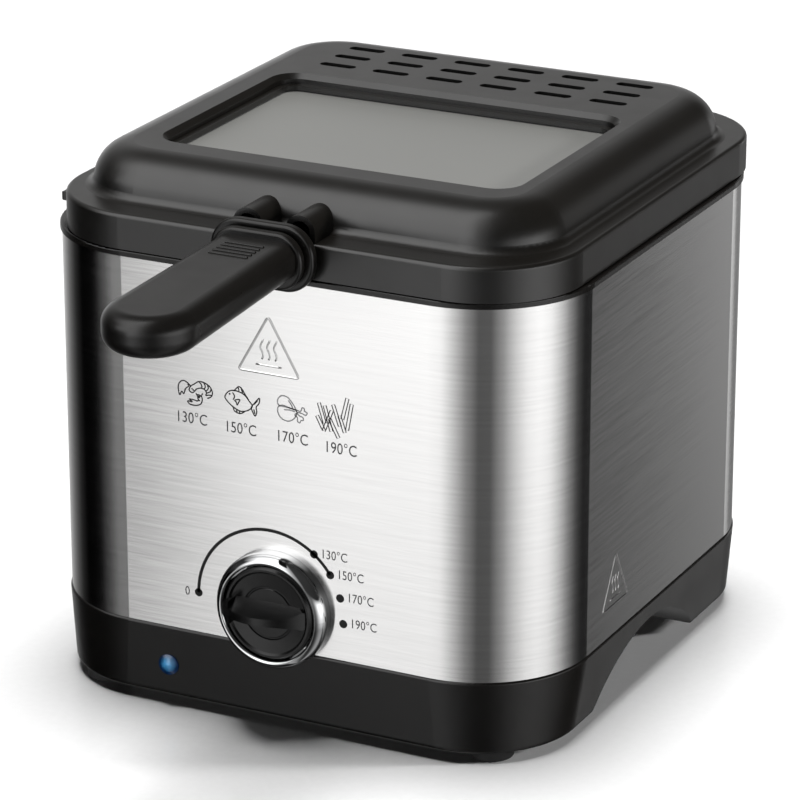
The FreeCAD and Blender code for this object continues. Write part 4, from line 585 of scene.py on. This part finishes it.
def icon_point(x, u, v):
    """The point of the panel at u, v of the drawing that stands at x."""
    return (x + u * ICON_SPREAD) * MM, (ICON_Z + v) * MM


def food_icons(ink, pale_ink, mid_ink):
    """Four small line drawings of food, and the temperature that each needs."""
    *drawing_xs, chips_x = ICON_XS
    drawings = ((SHELLFISH, ink, "icon_shellfish"), (FISH, ink, "icon_fish"),
                (DRUMSTICKS, pale_ink, "icon_drumsticks"))
    for x, (drawing, colour, name) in zip(drawing_xs, drawings):
        soup = Soup()
        for kind, closed in (("open", False), ("closed", True)):
            for line in drawing[kind]:
                placed = [icon_point(x, u, v) for u, v in line]
                ink_line(soup, flowing(placed, closed), ICON_LINE * MM, closed)
        for u, v, radius in drawing["dots"]:
            ink_disc(soup, *icon_point(x, u, v), radius * MM, ICON_DOT_STEPS)
        soup.piece(name, "housing", "sleeve_steel", colour)
    soup = Soup()
    for u0, v0, u1, v1 in CHIPS:
        start = Vector((chips_x + u0, ICON_Z + v0)) * MM
        end = Vector((chips_x + u1, ICON_Z + v1)) * MM
        along = (end - start).normalized()
        side = Vector((-along.y, along.x)) * (CHIP_WIDTH / 2 * MM)
        ink_line(soup, [start + side, end + side, end - side, start - side], CHIP_LINE * MM, True)
    soup.piece("icon_chips", "housing", "sleeve_steel", mid_ink)
    soup = Soup()
    for (x, z), (_, text) in zip(ICON_TEXT_AT, DIAL_STOPS):
        ink_text(soup, text, ICON_TEXT, x * MM, z * MM)
    soup.piece("icon_temperatures", "housing", "sleeve_steel", mid_ink)


def heat_sign(name, sizes, place, normal, steel):
    """A plain embossed triangle with three waves of heat over a bar. place says where a point of
    the sign is on the steel, and normal is the way that the steel faces there."""
    middle, low, width, height = sizes
    half = width / 2
    soup = Soup()

    def ridge(points, radius, closed=False):
        path = [place(middle + u, low + v) for u, v in points]
        soup.tube(path, [normal] * len(path), radius, SIGN_SIDES, closed, SIGN_FLAT)

    ridge(blunted([(-half, 0.0), (half, 0.0), (0.0, height)], SIGN_CORNER), SIGN_EDGE_R, True)
    for shift in WAVES_AT:
        ridge([(width * (shift + WAVE_SWAY * math.sin(2 * math.pi * t / WAVE_SWAY_STEPS)),
                height * (WAVE_FOOT + WAVE_HEIGHT * t / WAVE_STEPS))
               for t in range(WAVE_STEPS + 1)], SIGN_LINE_R)
    ridge([(width * BAR_WIDTH * (t / BAR_STEPS - 0.5), height * BAR_AT)
           for t in range(BAR_STEPS + 1)], SIGN_LINE_R)
    soup.piece(name, "housing", "sleeve_steel", steel, smooth=True)


# ---------------------------------------------------------------- basket
def cloth_ring(half_x, half_y, radius):
    """The plan of the cloth: (point, outward normal) of each upright wire, in order round the basket."""
    reach_x = int((half_x - radius) / CLOTH_PITCH)
    reach_y = int((half_y - radius) / CLOTH_PITCH)
    spots = []
    for quarter, (nx, ny) in enumerate(((0, -1), (1, 0), (0, 1), (-1, 0))):
        reach = reach_x if nx == 0 else reach_y
        way = Vector((-ny, nx, 0))
        for i in range(-reach, reach + 1):
            flat = Vector((nx * half_x, ny * half_y, 0)) + way * (i * CLOTH_PITCH)
            spots.append((flat, Vector((nx, ny, 0))))
        centre = Vector(((half_x - radius) * (1 if quarter in (0, 1) else -1),
                         (half_y - radius) * (1 if quarter in (1, 2) else -1), 0))
        for c in range(CLOTH_CORNER_WIRES):
            turn = math.radians(quarter * 90.0 - 90.0 + 90.0 * (c + 1) / (CLOTH_CORNER_WIRES + 1))
            out = Vector((math.cos(turn), math.sin(turn), 0))
            spots.append((centre + out * radius, out))
    return spots


def woven_basket(steel):
    """The wire cloth of the basket: rings and uprights woven on the walls, and a woven floor."""
    middle = Vector(((basket_low.x + basket_high.x) / 2, (basket_low.y + basket_high.y) / 2, 0))
    half_x = (basket_high.x - basket_low.x) / 2 - CLOTH_INSET
    half_y = (basket_high.y - basket_low.y) / 2 - CLOTH_INSET
    radius = CLOTH_CORNER_R - CLOTH_INSET
    spots = cloth_ring(half_x, half_y, radius)
    floor_z = basket_low.z + CLOTH_INSET
    wall_z = floor_z + CLOTH_FOOT_R
    rings = int((basket_high.z - CLOTH_TOP_GAP - wall_z) / CLOTH_PITCH)
    up = Vector((0, 0, 1))
    soup = Soup()

    def wave_at(upright, ring):
        """How far the upright is pushed out where it crosses the ring, which is pushed in as far."""
        return -CLOTH_WAVE if (upright + ring) % 2 else CLOTH_WAVE

    for ring in range(rings + 1):
        level = middle + up * (wall_z + ring * CLOTH_PITCH)
        path, normals = [], []
        for upright, (spot, out) in enumerate(spots):
            next_spot, next_out = spots[(upright + 1) % len(spots)]
            between = (out + next_out).normalized()
            bulge = radius * (1 - math.cos(out.angle(next_out) / 2))
            path.append(level + spot - out * wave_at(upright, ring))
            path.append(level + (spot + next_spot) / 2 + between * bulge)
            normals.extend((out, between))
        soup.tube(path, normals, CLOTH_WIRE_R, CLOTH_SIDES, closed=True)

    for upright, (spot, out) in enumerate(spots):
        path, normals = [], []
        for ring in range(rings, -1, -1):
            level = middle + up * (wall_z + ring * CLOTH_PITCH)
            path.append(level + spot + out * wave_at(upright, ring))
            normals.append(out)
            if ring:
                path.append(level + spot - up * (CLOTH_PITCH / 2))
                normals.append(out)
        for step in range(1, CLOTH_FOOT_STEPS + 1):
            turn = math.radians(90.0 * step / CLOTH_FOOT_STEPS)
            facing = out * math.cos(turn) - up * math.sin(turn)
            path.append(middle + spot + (facing - out) * CLOTH_FOOT_R + up * wall_z)
            normals.append(facing)
        on_flat_wall = 0.0 in (out.x, out.y)
        if on_flat_wall:
            to_middle = (half_x if out.x else half_y) - CLOTH_FOOT_R
            for step in range(1, int(to_middle / (CLOTH_PITCH / 2)) + 1):
                wave = CLOTH_WAVE * CLOTH_FLOOR_WAVE * math.cos(math.pi * (step / 2 + upright))
                path.append(middle + spot - out * (CLOTH_FOOT_R + step * CLOTH_PITCH / 2)
                            + up * (floor_z + wave))
                normals.append(-up)
        else:
            path.append(path[-1] - out * CLOTH_STUB)
            normals.append(-up)
        soup.tube(path, normals, CLOTH_WIRE_R, CLOTH_SIDES)
    piece = soup.piece("woven_basket", "basket", "wire_steel", steel, smooth=True)
    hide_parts("basket_mesh")


# ---------------------------------------------------------------- studio
CAMERA_PLACE = Vector((0.7081, -1.3745, 0.6834))
CAMERA_AIM = Vector((0.0024, 0.0406, 0.1020))
CAMERA_LENS = 190.7               # focal length for a sensor of CAMERA_SENSOR, both in millimetres
CAMERA_SENSOR = 36.0
CAMERA_CLIP = (0.05, 50.0)
TABLE_HALF = 12.0

# Brightness of the studio below its horizon, by direction: degrees from straight ahead of the
# fryer's front, counted towards its right side. A bright wall in front, one at the right and one
# behind at the left, with dark corners between them, give the steel its bands.
WALLS = (
    (-180.0, 0.20), (-164.0, 0.40), (-146.0, 0.85), (-134.0, 0.58), (-122.0, 0.35), (-110.0, 0.15),
    (-98.0, 0.03), (-86.0, 0.0), (-62.0, 0.0), (-50.0, 0.08), (-40.0, 0.24), (-30.3, 0.28), (-28.3, 1.60),
    (-14.0, 1.38), (-3.0, 0.88), (10.0, 0.36), (22.0, 0.13), (34.0, 0.14), (46.0, 0.44), (58.0, 0.95),
    (70.0, 1.38), (82.0, 1.56), (94.0, 1.40), (106.0, 0.88), (118.0, 0.36), (130.0, 0.09), (142.0, 0.02),
    (157.4, 0.02), (159.6, 0.95), (163.0, 0.95), (168.0, 0.25),
)
# The same above the horizon, and higher still: a soft light in front at the left, a weak one behind.
HIGH_WALLS = (
    (-180.0, 0.08), (-162.0, 0.36), (-140.0, 0.52), (-115.0, 0.25), (-95.0, 0.04), (-66.0, 0.06),
    (-50.0, 2.0), (-10.0, 2.3), (4.0, 0.7), (20.0, 0.05), (150.0, 0.02), (172.0, 0.04),
)
CANOPY = (
    (-180.0, 0.12), (-125.0, 0.15), (-95.0, 0.5), (-66.0, 2.2), (-20.0, 2.4), (4.0, 0.8), (20.0, 0.06),
    (150.0, 0.03),
)
# Heights are those of the direction's upright part, from -1 straight down to 1 straight up.
LOW_SHADE = (0.28, 1.55)          # factor on WALLS, well below the horizon and up at it
LOW_SHADE_HEIGHTS = (-0.55, -0.05)
HIGH_WALLS_HEIGHTS = (0.05, 0.22)        # where WALLS give way to HIGH_WALLS
CANOPY_HEIGHTS = (0.45, 0.75)            # where HIGH_WALLS give way to CANOPY

# Lamps: name, strength, width in degrees, and turns in degrees from shining straight down. The second
# one is low and reaches in under the finger notch.
LAMPS = (
    ("overhead", 3.75, 26.0, (-4.0, -3.0, 0.0)),
    ("low_side", 2.2, 8.0, (72.0, 0.0, 118.0)),
)


def camera():
    """The camera at its place, aimed at the fryer."""
    data = bpy.data.cameras.new("camera")
    data.lens = CAMERA_LENS
    data.sensor_width = CAMERA_SENSOR
    data.clip_start, data.clip_end = CAMERA_CLIP
    eye = bpy.data.objects.new("camera", data)
    eye.location = CAMERA_PLACE
    eye.rotation_euler = (CAMERA_AIM - CAMERA_PLACE).to_track_quat("-Z", "Y").to_euler()
    bpy.context.scene.collection.objects.link(eye)
    bpy.context.scene.camera = eye


def studio():
    """A room of soft light that is only mirrored, and the lamps that light everything else."""
    world = bpy.data.worlds.new("studio")
    bpy.context.scene.world = world
    world.use_nodes = True
    world.cycles_visibility.diffuse = False
    tree = world.node_tree
    g = Graph(tree)
    direction = g.add("ShaderNodeTexCoord").outputs["Generated"]
    part = g.add("ShaderNodeSeparateXYZ", {0: direction}).outputs
    turn = g.maths("ARCTAN2", part["X"], g.maths("MULTIPLY", part["Y"], -1.0))
    share = g.spread(turn, start=-math.pi, end=math.pi)

    def by_direction(levels):
        """Brightness round the horizon, from (degrees, level) pairs."""
        ramp = g.add("ShaderNodeValToRGB", {"Fac": share})
        stops = ramp.color_ramp.elements
        while len(stops) < len(levels):
            stops.new(0.5)
        for stop, (angle, level) in zip(stops, levels):
            stop.position = (angle + 180.0) / 360.0
            stop.color = (level, level, level, 1.0)
        return ramp.outputs["Color"]

    shade = g.spread(part["Z"], *LOW_SHADE, *LOW_SHADE_HEIGHTS)
    light = g.add("ShaderNodeVectorMath", {0: by_direction(WALLS), "Scale": shade},
                  operation="SCALE").outputs[0]
    for levels, (start, end) in ((HIGH_WALLS, HIGH_WALLS_HEIGHTS), (CANOPY, CANOPY_HEIGHTS)):
        light = g.mix(g.spread(part["Z"], start=start, end=end), light, by_direction(levels))
    tree.links.new(light, tree.nodes["Background"].inputs["Color"])
    for values in LAMPS:
        lamp(*values)


def lamp(name, strength, width, turns):
    """A far lamp. It lights what scatters light, and nothing mirrors it."""
    sun = bpy.data.lights.new(name, "SUN")
    sun.energy = strength
    sun.angle = math.radians(width)
    holder = bpy.data.objects.new(name, sun)
    holder.rotation_euler = Euler([math.radians(turn) for turn in turns])
    holder.visible_glossy = False
    bpy.context.scene.collection.objects.link(holder)


def floor():
    """A pale, slightly glossy table top, which nothing mirrors."""
    material, g, shader = surface("table_top", IOR=1.45)
    fine = g.noise(scale=300.0)
    colour = g.mix(g.spread(fine), (0.90, 0.90, 0.90), (0.92, 0.92, 0.92))
    feed(g, shader, colour, g.spread(fine, low=0.20, high=0.24), g.relief(fine, 0.002 * MM))
    mesh = bpy.data.meshes.new("table_top")
    corners = [(x * TABLE_HALF, y * TABLE_HALF, 0) for x, y in ((-1, -1), (1, -1), (1, 1), (-1, 1))]
    mesh.from_pydata(corners, [], [(0, 1, 2, 3)])
    mesh.materials.append(material)
    top = bpy.data.objects.new("table_top", mesh)
    bpy.context.scene.collection.objects.link(top)
    top.visible_glossy = False


def main():
    """The studio round the frame, the finished materials and the pieces that CAD leaves out."""
    view = bpy.context.scene.view_settings
    view.view_transform = "Standard"
    view.look = "None"
    camera()
    studio()
    floor()
    finish = looks()
    dress_frame(finish)
    ink = printed_ink("print_dark", DARK_INK)
    mid_ink = printed_ink("print_mid", MID_INK)
    pale_ink = printed_ink("print_pale", PALE_INK)
    dial_print(ink, mid_ink)
    food_icons(ink, pale_ink, mid_ink)
    steel = finish["sleeve_steel"]
    heat_sign("front_sign", FRONT_SIGN, on_front, Vector((0, -1, 0)), steel)
    heat_sign("side_sign", SIDE_SIGN, on_right, Vector((1, 0, 0)), steel)
    woven_basket(finish["wire_steel"])


main()
